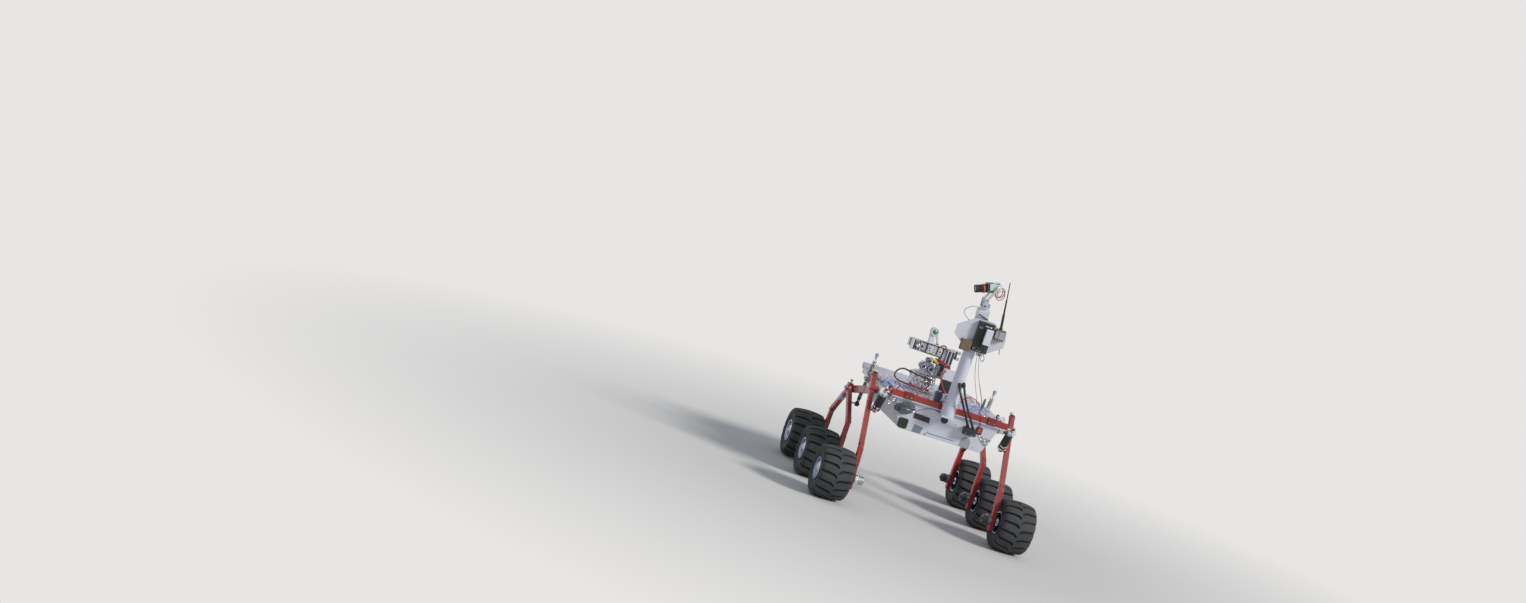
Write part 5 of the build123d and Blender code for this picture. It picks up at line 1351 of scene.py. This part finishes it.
def add_front_fittings():
    """Vent, slot cover, round port, rocker switch and connector on the tub's front."""
    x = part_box("body_tub")[1].x
    black = Piece("front_fitting_details")
    y, z = VENT
    panel_plate(black, rounded(y - 0.027, y + 0.027, z - 0.027, z + 0.027, 0.008), x, 0.0035,
        "black_plastic")
    for i in range(6):
        bar = z - 0.0185 + i * 0.0074
        black.box((x + 0.0035, y - 0.021, bar - 0.0013), (x + 0.0056, y + 0.021, bar + 0.0013),
            "black_plastic")
    for sy, sz in SIGNS:
        black.screw((x + 0.0035, y + sy * 0.0225, z + sz * 0.0225), AHEAD, 0.0022, "steel")
    y, z = SLOT
    panel_plate(black, [(y - 0.046, z + 0.017), (y - 0.043, z - 0.012), (y + 0.045, z - 0.016),
        (y + 0.042, z + 0.012)], x, 0.004, "black_plastic")
    for i in range(7):
        bar = y - 0.033 + i * 0.011
        black.box((x + 0.004, bar - 0.0032, z - 0.0075), (x + 0.0052, bar + 0.0032, z + 0.0075),
            "black_plastic")
    y, z = PORT
    black.turned((x, y, z), AHEAD, profile(0, 19.5, 3.5, 19.5, 5, 18, 5, 14.5, 1.5, 13.5, 1.2, 0),
        "black_plastic", 40)
    y, z = SWITCH
    panel_plate(black, rounded(y - 0.017, y + 0.017, z - 0.019, z + 0.019, 0.004), x, 0.005,
        "black_plastic")
    red = Piece("rocker_switch")
    red.turn(red.box((x + 0.003, y - 0.0095, z - 0.0125), (x + 0.0095, y + 0.0095, z + 0.0125),
        "red_bright_and_lit"), (x + 0.003, y, z), (0, 1, 0), -9)
    red.done("red_paint", bevel=0.0012)
    y, z, wide, tall, deep = CONNECTOR
    low = Vector((x, y - wide / 2, z - tall / 2))
    high = Vector((x + deep, y + wide / 2, z + tall / 2))
    seam = low.y + wide * 0.72
    black.box(low, (high.x - 0.001, seam, high.z), "black_plastic")
    black.box((low.x, seam + 0.0006, low.z + 0.001), (high.x - 0.006, high.y, high.z - 0.001), "teal_dark")
    black.box((high.x - 0.012, low.y - 0.0015, low.z + 0.004), (high.x - 0.006, seam - 0.002,
        high.z + 0.0006), "black_plastic")
    for sy in (-1, 1):
        black.screw((high.x - 0.001, low.y + wide * 0.36 + sy * 0.018, low.z + 0.007), AHEAD, 0.0026,
            "steel")
    for name in ("mast_cable_inner", "mast_cable_outer"):
        spot, heading = cable_end(name, True)
        seat = spot + heading * ((spot.z - high.z + 0.004) / -heading.z)
        thick = CABLES[name][0] + GLAND_WALL
        long = (spot - seat).length
        black.turned(seat, -heading, [(0, thick), (long * 0.45, thick), (long, thick * 0.78)],
            "black_plastic", 20)
    black.done("black_plastic", ["front_fittings"], bevel=0.0008)
    sleeves = Piece("mast_glands")
    for name in ("mast_cable_inner", "mast_cable_outer"):
        spot, heading = cable_end(name, False)
        thick = CABLES[name][0] + GLAND_WALL
        sleeves.turned(spot + heading * 0.0235, -heading, [(0, 0), (0.0008, thick * 0.62),
            (0.0028, thick * 0.92), (0.006, thick + 0.0012), (0.024, thick + 0.0012), (0.0255, thick),
            (0.033, 0.0066)], "black_plastic", 28)
    sleeves.done("black_plastic")


def cable_end(name, at_end):
    """Where a cable ends, and the direction away from the cable there."""
    points = [Vector(p) / 1000 for p in CABLES[name][5]]
    spot, beside = (points[-1], points[-2]) if at_end else (points[0], points[1])
    return spot, (spot - beside).normalized()


def add_panel_trim():
    """Tape patches, the white lip, screws and the wrapped lump on the tub's front."""
    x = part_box("body_tub")[1].x
    tape = Piece("panel_tape")
    panel_plate(tape, PATCH_RIGHT, x, PATCH_THICKNESS, "grey_plastic")
    panel_plate(tape, PATCH_LEFT, x, PATCH_THICKNESS, "slate_tape")
    crumple = Crumple(5)

    def scrap(u, v, draw):
        top = Vector((0, 0.184 + 0.087 * u, 0.545 - 0.01 * u))
        bottom = Vector((0, 0.206 + 0.046 * u, 0.52 - 0.028 * u))
        spot = top.lerp(bottom, v)
        crease = max(0.0, 1 - 3.0 * abs(noise.noise(Vector((5.5 * u - 2.0 * v, 1.6 * v + u, 3.3)))))
        rise = 0.0006 if u in (0, 1) or v in (0, 1) else 0.0009 + 0.0052 * crease * min(1.0,
            1.6 * u) + draw(0, 0.0003)
        return Vector((x + rise, spot.y, spot.z))

    crumple.grid(tape, 34, 18, scrap, "tape_silver")
    tape.done("grey_plastic", smooth=24)
    lip = Piece("panel_lip")
    y0, y1 = LIP_Y
    z = LIP_Z
    lip.box((x, y0, z - 0.012), (x + 0.006, y1, z + 0.003), "white_paint")
    lip.box((x, y0 + 0.01, z + 0.0075), (x + 0.004, y1 - 0.012, z + 0.0145), "white_paint")
    # The grey strip in the gap between the lip's bars is painted shade.
    lip.box((x, y0 + 0.006, z + 0.0042), (x + 0.001, y1 - 0.006, z + 0.0062), "grey_plastic")
    lip.done("white_paint", bevel=0.0009)
    screws = Piece("panel_screws")
    for y, z in PANEL_SCREWS:
        screws.screw((x, y, z), AHEAD, 0.0034, "steel")
    screws.done("steel")
    lump = Piece("wrapped_lump")
    (y0, y1), (z0, z1), depth = LUMP
    for seed, material, shift, size in ((41, "bag_silver", 0.0, 1.0), (43, "bag_dark", -0.022, 0.74)):
        crumple = Crumple(seed)
        middle = ((y0 + y1) / 2 - shift * 0.2, (z0 + z1) / 2 + shift * 0.22)
        half_y = (y1 - y0) / 2 * (0.98 if seed == 41 else 0.66)
        middle_y = middle[0] + shift

        def bag(u, v, draw):
            around = 2 * math.pi * v
            along = math.pi * u
            r = math.sin(along) ** 0.8
            turn = around + 0.9 * u
            spot = Vector((2.1 * math.cos(turn), 2.1 * math.sin(turn), 2.0 * u + seed))
            ridge = 1 - 3.4 * abs(noise.noise(spot))
            crease = 1 - 3.4 * abs(noise.noise(spot * 2.4))
            fold = (0.64 + 0.3 * ridge + 0.22 * crease + draw(-0.05, 0.05)) * size
            yy = middle_y - half_y * math.cos(along) + (draw(-0.003, 0.003) if 0 < u < 1 else 0)
            zz = middle[1] + 0.1 * (yy - y0) + (z1 - z0) / 2 * r * math.sin(around) * fold
            return Vector((x + depth / 2 * (1 + min(1.0, max(-1.0, r * math.cos(around) * fold * 1.12))),
                yy, zz))

        crumple.grid(lump, LUMP_ROWS, LUMP_COLUMNS, bag, material, wrap=True)
    bmesh.ops.remove_doubles(lump.mesh, verts=lump.mesh.verts, dist=0.0008)
    lump.done("grey_plastic", smooth=24)


# The mast's plate and its boxes


def add_mast_boxes():
    """Tall black box with a ribbed face, white, grey and tan boxes beside it."""
    low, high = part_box("radio_black")
    black = Piece("black_box_details")
    black.box(low, (high.x - 0.004, high.y, high.z), "black_plastic")
    ribs = 11
    wide = (high.y - low.y) * 0.52
    for i in range(ribs):
        y = low.y + 0.008 + wide * i / ribs
        black.box((high.x - 0.004, y, low.z + 0.03), (high.x, y + wide / ribs * 0.5, high.z - 0.028),
            "steel_dark" if i == ribs - 1 else "black_plastic")
    for z0, z1, material in ((low.z + 0.006, low.z + 0.022, "green_dark"),
            (high.z - 0.02, high.z - 0.008, "black_plastic")):
        for i in range(4):
            y = low.y + 0.01 + i * 0.017
            black.box((high.x - 0.004, y, z0), (high.x - 0.0005, y + 0.012, z1), material)
    for i in range(3):
        y = high.y - 0.03 + i * 0.009
        black.rod((high.x - 0.012, y, high.z - 0.002), (high.x - 0.012, y, high.z + 0.01), 0.0034,
            "white_plastic", 12)
    for y, z, wide, tall, material in ((-0.022, 1.098, 0.02, 0.01, "steel_dark"),
            (0.01, 1.112, 0.024, 0.006, "nut_blue"), (0.03, 1.112, 0.008, 0.008, "chrome"),
            (-0.026, 0.984, 0.01, 0.008, "brass"), (0.034, 0.99, 0.014, 0.01, "green_dark"),
            (0.004, 0.977, 0.03, 0.005, "steel_dark")):
        black.box((high.x - 0.003, y - wide / 2, z - tall / 2),
            (high.x + 0.0012, y + wide / 2, z + tall / 2), material)
    black.box((high.x - 0.024, 0.004, low.z - 0.02), (high.x - 0.012, 0.036, low.z + 0.001), "steel")
    black.ring((high.x - 0.012, 0.02, low.z - 0.011), AHEAD, 0.003, 0.008, 0.003, "steel_dark", 20)
    black.rod((0.4705, -0.05, 1.1585), (0.4705, 0.01, 1.143), 0.0034, "black_plastic", 14, 0.0006)
    black.rod((0.47, -0.04, 1.1559), (0.455, -0.04, 1.1559), 0.0024, "steel", 12)
    black.tube(route(474, 40, 968, 476, 52, 955, 474, 58, 938, 471, 50, 926, 470, 38, 936, 470, 30, 950),
        0.0018, "cable_violet", 8)
    # This rod is white in painted shade.
    black.rod((0.462, 0.121, 1.016), (0.462, 0.1285, 0.989), 0.003, "lavender_painted_shade", 12)
    black.done("black_plastic", ["radio_black"], bevel=0.0009)
    ribbon = Piece("pan_ribbon")
    # The ribbon is white in painted shade.
    ribbon.tube(route(447, -49, 1186, 449, -66, 1192, 450, -90, 1187, 451, -114, 1172, 453, -126, 1154,
        455, -118, 1136, 457, -98, 1121, 458.5, -78, 1109, 459, -66, 1100), 0.0022, "lavender_painted_shade", 10)
    ribbon.done("white_plastic", smooth=60)
    for node, name, material in (("radio_white", "white_box", "white_plastic"),
            ("radio_tan", "tan_box", "tan_card")):
        low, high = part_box(node)
        box = Piece(f"{name}_shell")
        box.box(low, high, material)
        box.done(material, [node], bevel=0.005 if name == "white_box" else 0.003, segments=4)
    low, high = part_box("radio_grey")
    grey = Piece("grey_box_shell")
    seam = low.y + (high.y - low.y) * 0.34
    grey.box((low.x, low.y, low.z + 0.01), (high.x - 0.002, seam - 0.0006, high.z - 0.01), "grey_plastic")
    grey.box((low.x, seam + 0.0006, low.z + 0.01), (high.x, high.y, high.z - 0.01), "grey_light")
    for z0, z1 in ((low.z, low.z + 0.0095), (high.z - 0.0095, high.z)):
        grey.box((low.x + 0.004, low.y + 0.006, z0), (high.x - 0.006, high.y - 0.002, z1), "brass")
    grey.done("grey_plastic", ["radio_grey"], bevel=0.0015)


def add_antenna():
    """Whip with a thicker sleeve at its foot."""
    low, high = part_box("antenna")
    foot = Vector((low.x + (high.x - low.x) / 2, high.y - 0.01, low.z))
    tip = Vector((foot.x, low.y + 0.0048, high.z - 0.0006))
    whip = Piece("whip_antenna")
    whip.turned(foot, UP, profile(0, 9.5, 8.5, 9.5, 10, 7.5), "black_plastic", 24)
    start = foot + Vector((0, 0, 0.006))
    line = tip - start
    run = line.length
    whip.turned(start, line, [(0, 0.007), (run * 0.3, 0.0064), (run * 0.32, 0.005), (run * 0.62, 0.004),
        (run * 0.63, 0.003), (run - 0.003, 0.0024), (run, 0.001)], "cable_black", 20)
    whip.done("cable_black", ["antenna"])


# The camera head


def add_head():
    """Pan servo, narrow fork with its tilt servo, camera housing, collar and lens."""
    low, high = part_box("pan_base")
    top = centre("pan_base")
    servo = Piece("pan_servo")
    shoulder = high.z - 0.013
    servo.box((low.x, low.y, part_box("mast_tube")[1].z), (high.x, high.y, shoulder), "white_plastic")
    servo.box((low.x + 0.006, low.y + 0.005, shoulder), (high.x - 0.006, high.y - 0.005, high.z),
        "white_plastic")
    for sx, sy in SIGNS:
        servo.bolt((top.x + sx * 0.0265, top.y + sy * 0.0245, shoulder), UP, 0.0028, "steel")
    for i in range(5):
        z = low.z + 0.024 + i * 0.0055
        servo.box((high.x - 0.001, low.y + 0.004, z), (high.x + 0.0006, high.y - 0.004, z + 0.0026),
            "nut_blue" if i % 2 else "white_plastic")
    servo.rod((high.x - 0.001, -0.04, 1.155), (high.x + 0.007, -0.04, 1.155), 0.006, "chrome", 20, 0.001)
    servo.rod((high.x - 0.001, 0.0, 1.146), (high.x + 0.006, 0.0, 1.146), 0.0048, "white_plastic", 20,
        0.001)
    servo.done("white_plastic", ["pan_base"], bevel=0.002, segments=3)
    low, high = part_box("head_fork")
    pivot = Vector(JOINTS["head_tilt"])
    turn = Vector(JOINTS["head_pan"])
    fork = Piece("tilt_fork")
    half = (high.x - low.x) / 2
    floor_z = turn.z + 0.0008
    fork.turned((turn.x, turn.y, low.z + 0.0005), UP, [(0, 0.01), (floor_z - low.z, 0.01)], "steel", 24)
    fork.box((turn.x - half, turn.y - 0.018, floor_z), (turn.x + half, turn.y + 0.012, floor_z + 0.005),
        "white_plastic")
    # The pan housing's block is white in painted shade.
    fork.box((turn.x - 0.024, turn.y - 0.014, floor_z + 0.004),
        (turn.x + 0.024, turn.y + 0.018, floor_z + 0.028), "lavender_painted_shade")
    fork.box((turn.x - 0.025, turn.y - 0.015, floor_z + 0.016),
        (turn.x + 0.025, turn.y + 0.019, floor_z + 0.02), "nut_blue")
    knee = (turn.y - 0.01, floor_z + 0.044)
    for sx in (-1, 1):
        plate_x = turn.x + sx * (half - 0.002)
        for start, end, wide in (((turn.y - 0.006, floor_z + 0.002), knee, 0.022),
                (knee, (pivot.y, pivot.z), 0.013)):
            fork.strip(plate_x, start, end, wide, 0.002, "aluminium")
        for spot, half_thick, radius in ((knee, 0.0021, 0.0108), ((pivot.y, pivot.z), 0.0023, 0.01)):
            fork.rod((plate_x - half_thick, *spot), (plate_x + half_thick, *spot), radius, "aluminium", 28)
        face = turn.x + sx * half
        fork.bolt((face, pivot.y, pivot.z), (sx, 0, 0), 0.005, "chrome")
        fork.screw((face, *knee), (sx, 0, 0), 0.0036, "black_plastic")
        fork.rod((face - sx * 0.001, turn.y - 0.012, floor_z + 0.012),
            (face + sx * 0.004, turn.y - 0.012, floor_z + 0.012), 0.005, "black_plastic", 18, 0.0008)
    fork.done("aluminium", ["head_fork"], bevel=0.001, body="head_pan")
    camera = Piece("camera_shell")
    level = Matrix.Translation(pivot) @ Matrix.Rotation(math.radians(CAMERA_REST_DEG), 4, "X")
    half_x, tail, front, half_z = CAMERA_SHELL
    camera.box((-half_x, -front, -half_z), (half_x, tail, half_z), "mint_plastic", level)
    camera.done("mint_plastic", ["camera_box"], bevel=0.01, segments=5, body="head_tilt")
    trim = Piece("camera_trim")
    for low, high, material in (((-half_x + 0.006, -front - 0.0005, -half_z + 0.003),
            (half_x + 0.0006, -front + 0.03, -half_z + 0.017), "green_plastic"),
            ((-half_x - 0.0008, -front - 0.0015, -half_z + 0.014),
            (half_x + 0.0008, -front + 0.011, half_z + 0.0008), "navy"),
            ((-half_x + 0.004, -front, half_z - 0.003), (half_x - 0.004, -front + 0.034, half_z + 0.0008),
            "navy"), ((-half_x + 0.006, tail - 0.03, half_z - 0.007),
            (half_x + 0.0006, tail - 0.008, half_z - 0.002), "slate_tape")):
        trim.box(low, high, material, level)
    back_way = level.to_3x3() @ Vector((0, 1, 0))
    for sx in (-1, 1):
        trim.rod(level @ Vector((sx * half_x, 0, 0)), level @ Vector((sx * (half_x + 0.0055), 0, 0)),
            0.0038, "steel")
        for z in (-0.5, 0.5):
            trim.screw(level @ Vector((sx * 0.6 * half_x, tail, z * half_z)), back_way, 0.0042, "chrome")
    for x, z, long, radius in ((0.01, -0.012, 0.012, 0.0055), (-0.008, -0.006, 0.01, 0.005),
            (0.014, 0.006, 0.007, 0.004)):
        root = level @ Vector((x, tail - 0.001, z))
        trim.rod(root, root + back_way * long, radius, "chrome", 18, 0.0008)
    trim.done("mint_plastic", bevel=0.0008, body="head_tilt")
    wires = Piece("camera_wires")
    for points in (route(442, 32, 1310, 442, 46, 1310, 441, 57, 1297, 440, 58, 1280, 438, 50, 1264,
            436, 36, 1256, 434, 22, 1262, 433, 14, 1277, 432, 12, 1292),
            route(424, 30, 1316, 424, 42, 1313, 424, 48, 1300, 425, 46, 1284, 426, 36, 1270, 428, 22, 1266,
            429, 10, 1274, 430, 4, 1290), route(446, 30, 1322, 447, 44, 1321, 447, 52, 1310, 445, 52, 1292,
            443, 42, 1274, 441, 28, 1270, 440, 20, 1282, 440, 18, 1294)):
        wires.tube(points, 0.0022, "cable_red", 8)
    wires.done("cable_red", smooth=60, body="head_tilt")
    back = -back_way
    start = level @ Vector((0, -front, 0))
    collar = Piece("lens_collar")
    collar.turned(start, back, profile(0, 22.5, 5, 23.5, 6, 21.5, 9, 21.5, 10, 23.6, 23.5, 23.6, 24, 21),
        "dark_red", 40)
    collar.turned(start + back * 0.0145, back, profile(0, 23.7, 1.5, 23.9, 5.5, 23.9, 7, 23.7),
        "orange_ring", 40)
    collar.done("dark_red", ["camera_core"], body="head_tilt")
    start = start + back * 0.024
    lens = Piece("lens_barrel")
    barrel = profile(0, 19.5, 3, 20.8)
    for i in range(7):
        along = 0.006 + i * 0.0026
        barrel += [(along, 0.0208), (along + 0.0006, 0.02), (along + 0.0016, 0.02),
            (along + 0.0022, 0.0208)]
    barrel += profile(30, 20.8, 39.5, 20.9, 39.8, 20, 38, 18.2, 33, 17.5)
    lens.turned(start, back, barrel, "black_plastic", 48)
    lens.turned(start + back * 0.033, back, profile(0, 17.4, 2.5, 16.5, 4.5, 12, 5.5, 6, 5.8, 0),
        "lens_glass", 48)
    lens.done("black_plastic", ["camera_lens"], body="head_tilt")


# The arm


def add_arm():
    """Rims of the channel's holes, servos and cables along it, the elbow's motor, and the gripper."""
    low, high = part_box("arm_channel")
    shoulder = Vector(JOINTS["arm_shoulder"])
    elbow = Vector(JOINTS["arm_elbow"])
    face = shoulder.x + CHANNEL_HALF
    rims = Piece("channel_rims")
    holes = int((shoulder.y - elbow.y - 0.028) // HOLE_PITCH)
    for i in range(holes):
        y = elbow.y + 0.014 + (i + 0.5) * HOLE_PITCH
        for sx in (-1, 1):
            rims.ring((shoulder.x + sx * CHANNEL_HALF, y, shoulder.z), (sx, 0, 0), HOLE_RADIUS,
                HOLE_RADIUS + 0.0035, 0.0022, "chrome", 28)
        if i < holes - 1:
            for dz in (-0.019, 0.019):
                rims.bolt((face, y + HOLE_PITCH / 2, shoulder.z + dz), AHEAD, 0.0038, "chrome")
    rims.done("aluminium", body="arm_upper")
    dress = Piece("arm_servos")
    for y, wide, material in ((-0.118, 0.007, "black_plastic"), (-0.086, 0.01, "white_plastic"),
            (-0.054, 0.006, "motor_dark"), (-0.022, 0.008, "black_plastic")):
        dress.box((face - 0.001, y - wide / 2, shoulder.z - 0.02),
            (face + 0.004, y + wide / 2, shoulder.z + 0.022), material)
    for y, z, radius, material in ((-0.1015, 0.865, 0.0105, "white_plastic"),
            (-0.07, 0.858, 0.009, "chrome"), (-0.0385, 0.862, 0.0115, "white_plastic")):
        dress.turned((face, y, z), AHEAD, dished(radius, 0.005, 0.0065, 0.85, 0.5, 0.003, 0.45), material,
            28)
        dress.rod((face + 0.003, y, z), (face + 0.0075, y, z), radius * 0.3, "black_plastic", 16)
    dress.box((face - 0.001, -0.16, high.z - 0.008), (face + 0.0035, -0.004, high.z - 0.0025),
        "black_plastic")
    dress.tube([(face + 0.003, -0.15, 0.842), (face + 0.0045, -0.125, 0.837),
        (face + 0.0045, -0.09, 0.8355), (face + 0.0045, -0.055, 0.835), (face + 0.004, -0.025, 0.8365),
        (face + 0.002, -0.012, 0.842)], 0.0026, "cable_violet", 8)
    dress.box((shoulder.x - 0.018, -0.112, high.z - 0.0005), (shoulder.x + 0.018, -0.046, high.z + 0.0022),
        "white_plastic")
    dress.tube([(face - 0.006, -0.046, 0.888), (face - 0.005, -0.034, 0.899), (face - 0.004, -0.02, 0.902),
        (face - 0.004, -0.01, 0.896), (face - 0.005, -0.006, 0.886)], 0.0038, "cable_red", 10)
    dress.done("black_plastic", bevel=0.0006, body="arm_upper")
    drive = Piece("elbow_drive")
    drive.turned((face, elbow.y, shoulder.z), AHEAD, profile(0, 17.5, 10, 17.5, 12, 16, 22, 16, 24, 13,
        34, 12.5, 36, 10.5), "steel_dark", 40)
    drive.turned((face + 0.0362, elbow.y, shoulder.z), AHEAD, profile(0, 10, 0.8, 8.5, 1, 0), "chrome", 32)
    for y, z in circle(6):
        drive.screw((face + 0.0125, elbow.y + 0.0145 * y, shoulder.z + 0.0145 * z), AHEAD, 0.0014, "chrome")
    fins = ("chrome", "black_plastic", "white_plastic", "steel_dark")
    for i, material in enumerate(fins + fins[:3]):
        y = low.y + 0.0008 + i * 0.007
        tall = 0.026 - 0.0012 * (i % 3)
        drive.box((face - 0.001, y, shoulder.z - tall), (face + 0.01 - 0.0022 * (i % 2), y + 0.0042,
            shoulder.z + tall), material)
    drive.done("aluminium", bevel=0.0006, body="arm_upper")
    tool_low, tool_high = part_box("tool_flange")
    middle = (tool_low + tool_high) / 2
    grip = Piece("gripper")
    grip.box((middle.x - 0.02, tool_high.y - 0.001, middle.z - 0.02),
        (middle.x + 0.02, tool_high.y + 0.014, middle.z + 0.02), "motor_dark")
    for dz in (-0.017, 0.017):
        grip.box((middle.x - 0.012, tool_high.y + 0.013, middle.z + dz - 0.0075),
            (middle.x + 0.012, tool_high.y + 0.034, middle.z + dz + 0.0075), "grey_light")
        grip.rod((middle.x - 0.014, tool_high.y + 0.019, middle.z + dz),
            (middle.x + 0.014, tool_high.y + 0.019, middle.z + dz), 0.004, "chrome", 16)
    grip.done("grey_plastic", bevel=0.0012, body="arm_fore")
    add_sensor()
    add_turret()


def add_sensor():
    """White ring with a green glass disc, facing forward, on a broad leg and a thin one."""
    low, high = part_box("arm_sensor")
    middle = Vector(((low.x + high.x) / 2, SENSOR_RING[0], SENSOR_RING[1]))
    radius = SENSOR_RING[2]
    sensor = Piece("sensor_body")
    sensor.turned((low.x, middle.y, middle.z), AHEAD, [(0, radius * 0.8), (0.004, radius * 0.96),
        (0.01, radius * 0.995), (0.036, radius * 0.995), (0.0395, radius * 0.93), (0.0395, radius * 0.66),
        (0.035, radius * 0.6)], "white_plastic", 48)
    sensor.turned((high.x - 0.0055, middle.y - 0.0035, middle.z - 0.003), AHEAD,
        [(0, radius * 0.62), (0.001, radius * 0.6), (0.0035, radius * 0.4), (0.0046, 0.0)], "green_plastic",
        40)
    matrix = upright_frame(middle.x - 0.011)
    base = low.z
    for corners in ([(-0.1145, base), (-0.083, base), (middle.y + radius * 0.2, middle.z - radius * 0.7),
            (middle.y - radius * 0.92, middle.z - radius * 0.3)],
            [(-0.065, base + 0.006), (-0.056, base + 0.006), (middle.y + radius * 0.95,
            middle.z - radius * 0.25), (middle.y + radius * 0.55, middle.z - radius * 0.75)]):
        sensor.prism(corners, 0.022, "white_plastic", matrix)
    sensor.box((middle.x - 0.0105, -0.066, base - 0.001), (middle.x + 0.0105, -0.055, base + 0.008),
        "motor_dark")
    sensor.done("white_plastic", ["arm_sensor"], bevel=0.001, body="arm_upper")


def dished(radius, wall, top, outer, inner, floor, floor_share):
    """The outline of a drum with a hollow top; the last radii are shares of the first."""
    return [(0, radius), (wall, radius), (top, radius * outer), (top, radius * inner),
        (floor, radius * floor_share), (floor, 0)]


def gear_motor(piece, place, radius, length):
    """A motor that lies along X: can, geared head with a toothed ring, and a boss with its shaft."""
    head = length * GEAR_SHARE
    x, y, z = place
    can = [(0, radius * 0.8), (0.002, radius * 0.92), (length - head, radius * 0.92),
        (length - head, radius)]
    can += [(length - 0.003, radius), (length, radius * 0.93), (length, radius * 0.45),
        (length + 0.004, radius * 0.42), (length + 0.004, radius * 0.16), (length - 0.002, radius * 0.15)]
    piece.turned((x, y, z), AHEAD, can, "steel_dark", 40)
    # The motor's end disc is white in painted shade.
    piece.turned((x + length + 0.0002, y, z), AHEAD, [(0, radius * 0.88), (0.0006, radius * 0.84),
        (0.0006, radius * 0.5), (0, radius * 0.46)], "lavender_painted_shade", 40)
    for cosine, sine in circle(6, 0.5):
        spot = (x + length, y + radius * 0.72 * cosine, z + radius * 0.72 * sine)
        piece.screw(spot, AHEAD, radius * 0.1, "chrome")
    for i in range(GEAR_TEETH):
        angle = 2 * math.pi * i / GEAR_TEETH
        spot = Matrix.Translation((x + length - head, y, z)) @ Matrix.Rotation(angle, 4, "X")
        piece.box((0.001, radius * 0.95, -radius * 0.05), (0.006, radius * 1.05, radius * 0.05), "steel",
            spot)


def add_turret():
    """Geared motors on the turret, their cradle, and covers on the shoulder's cheeks."""
    drum = centre("arm_drum")
    motors = Piece("motor_bank")
    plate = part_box("arm_drum")[1].z + 0.0093
    motors.box((drum.x - 0.018, drum.y - 0.033, plate), (drum.x + 0.018, drum.y + 0.033, plate + 0.056),
        "aluminium")
    for offset, dy, rise, radius, length in MOTORS:
        gear_motor(motors, (drum.x + offset, drum.y + dy, plate + rise), radius, length)
    motors.done("steel", ["turret_motors"], bevel=0.0006, body="arm_turret")
    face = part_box("turret")[1].x
    cheek = Piece("cheek_dress")
    for i in range(7):
        y = -0.006 + i * 0.0068
        cheek.box((face - 0.001, y, 0.812), (face + 0.0085 - 0.003 * (i % 2), y + 0.0038, 0.883),
            ("steel_dark", "chrome", "black_plastic")[i % 3])
    cheek.box((face - 0.001, -0.012, 0.738), (face + 0.004, 0.0415, 0.808), "motor_dark")
    for y, z, radius in ((0.002, 0.752, 0.0042), (0.034, 0.752, 0.0042), (0.018, 0.775, 0.009),
            (0.034, 0.798, 0.0036)):
        cheek.turned((face + 0.004, y, z), AHEAD, dished(radius, 0.002, 0.003, 0.8, 0.4, 0.001, 0.35),
            "steel", 24)
    for start, end, wide, material in (((-0.086, 0.8215), (-0.03, 0.801), 0.0105, "yellow_plastic"),
            ((-0.056, 0.824), (-0.024, 0.813), 0.0085, "cable_red"),
            ((-0.029, 0.8006), (-0.017, 0.7962), 0.013, "black_plastic")):
        cheek.strip(0.01 if material == "yellow_plastic" else 0.004, start, end, wide, 0.003, material)
    cheek.box((-0.02, -0.06, 0.796), (0.006, -0.044, 0.808), "black_plastic")
    cheek.done("steel", bevel=0.0006, body="arm_turret")


# Cables and wires


def add_cables():
    """The free cables, which have solids in the part, and the thin wires, which have none."""
    plug = Piece("deck_cable_plug")
    spot, heading = cable_end("deck_cable", True)
    plug.turned(spot - heading * 0.001, -heading, profile(0, 6.2, 3, 7.4, 30, 7.4, 34, 6.6, 44, 5.8),
        "cap_white", 20)
    plug = plug.done("cable_red", smooth=50)
    for name, row in CABLES.items():
        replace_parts(cable(name, "chassis", *row, [plug] if name == "deck_cable" else []), name)
    for name, row in WIRES.items():
        cable(name, *row, [])


def cable(name, body, radius, material, slot, lay, length, points, pieces):
    """A smooth tube along chosen points."""
    data = bpy.data.curves.new(name, "CURVE")
    data.dimensions = "3D"
    data.bevel_depth = radius
    data.bevel_resolution = 5
    data.resolution_u = 12
    data.use_fill_caps = True
    spline = data.splines.new("NURBS")
    spline.points.add(len(points) - 1)
    for point, spot in zip(spline.points, points):
        point.co = (*(v / 1000 for v in spot), 1)
    spline.order_u = 3
    spline.use_endpoint_u = True
    data.materials.append(MATERIALS[material])
    piece = add_object(name, data)
    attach(piece, body)
    return piece


def dress_nodes():
    """Gives every solid that still shows its finish."""
    for subpart in frame["record"]["subparts"]:
        node = NODES[subpart["node"]]
        node.data.materials.clear()
        node.data.materials.append(MATERIALS[subpart["material_slot"]])


dress_nodes()
add_camera()
add_light()
add_floor()
add_wheels()
each_side(add_limbs)
add_drives()
each_side(add_struts)
each_side(add_dampers)
add_body()
add_beams()
add_deck_items()
add_deck_foil()
add_drum_foil()
add_front_fittings()
add_panel_trim()
add_mast_boxes()
add_antenna()
add_head()
add_arm()
add_cables()
bpy.context.scene.view_settings.view_transform = "Standard"
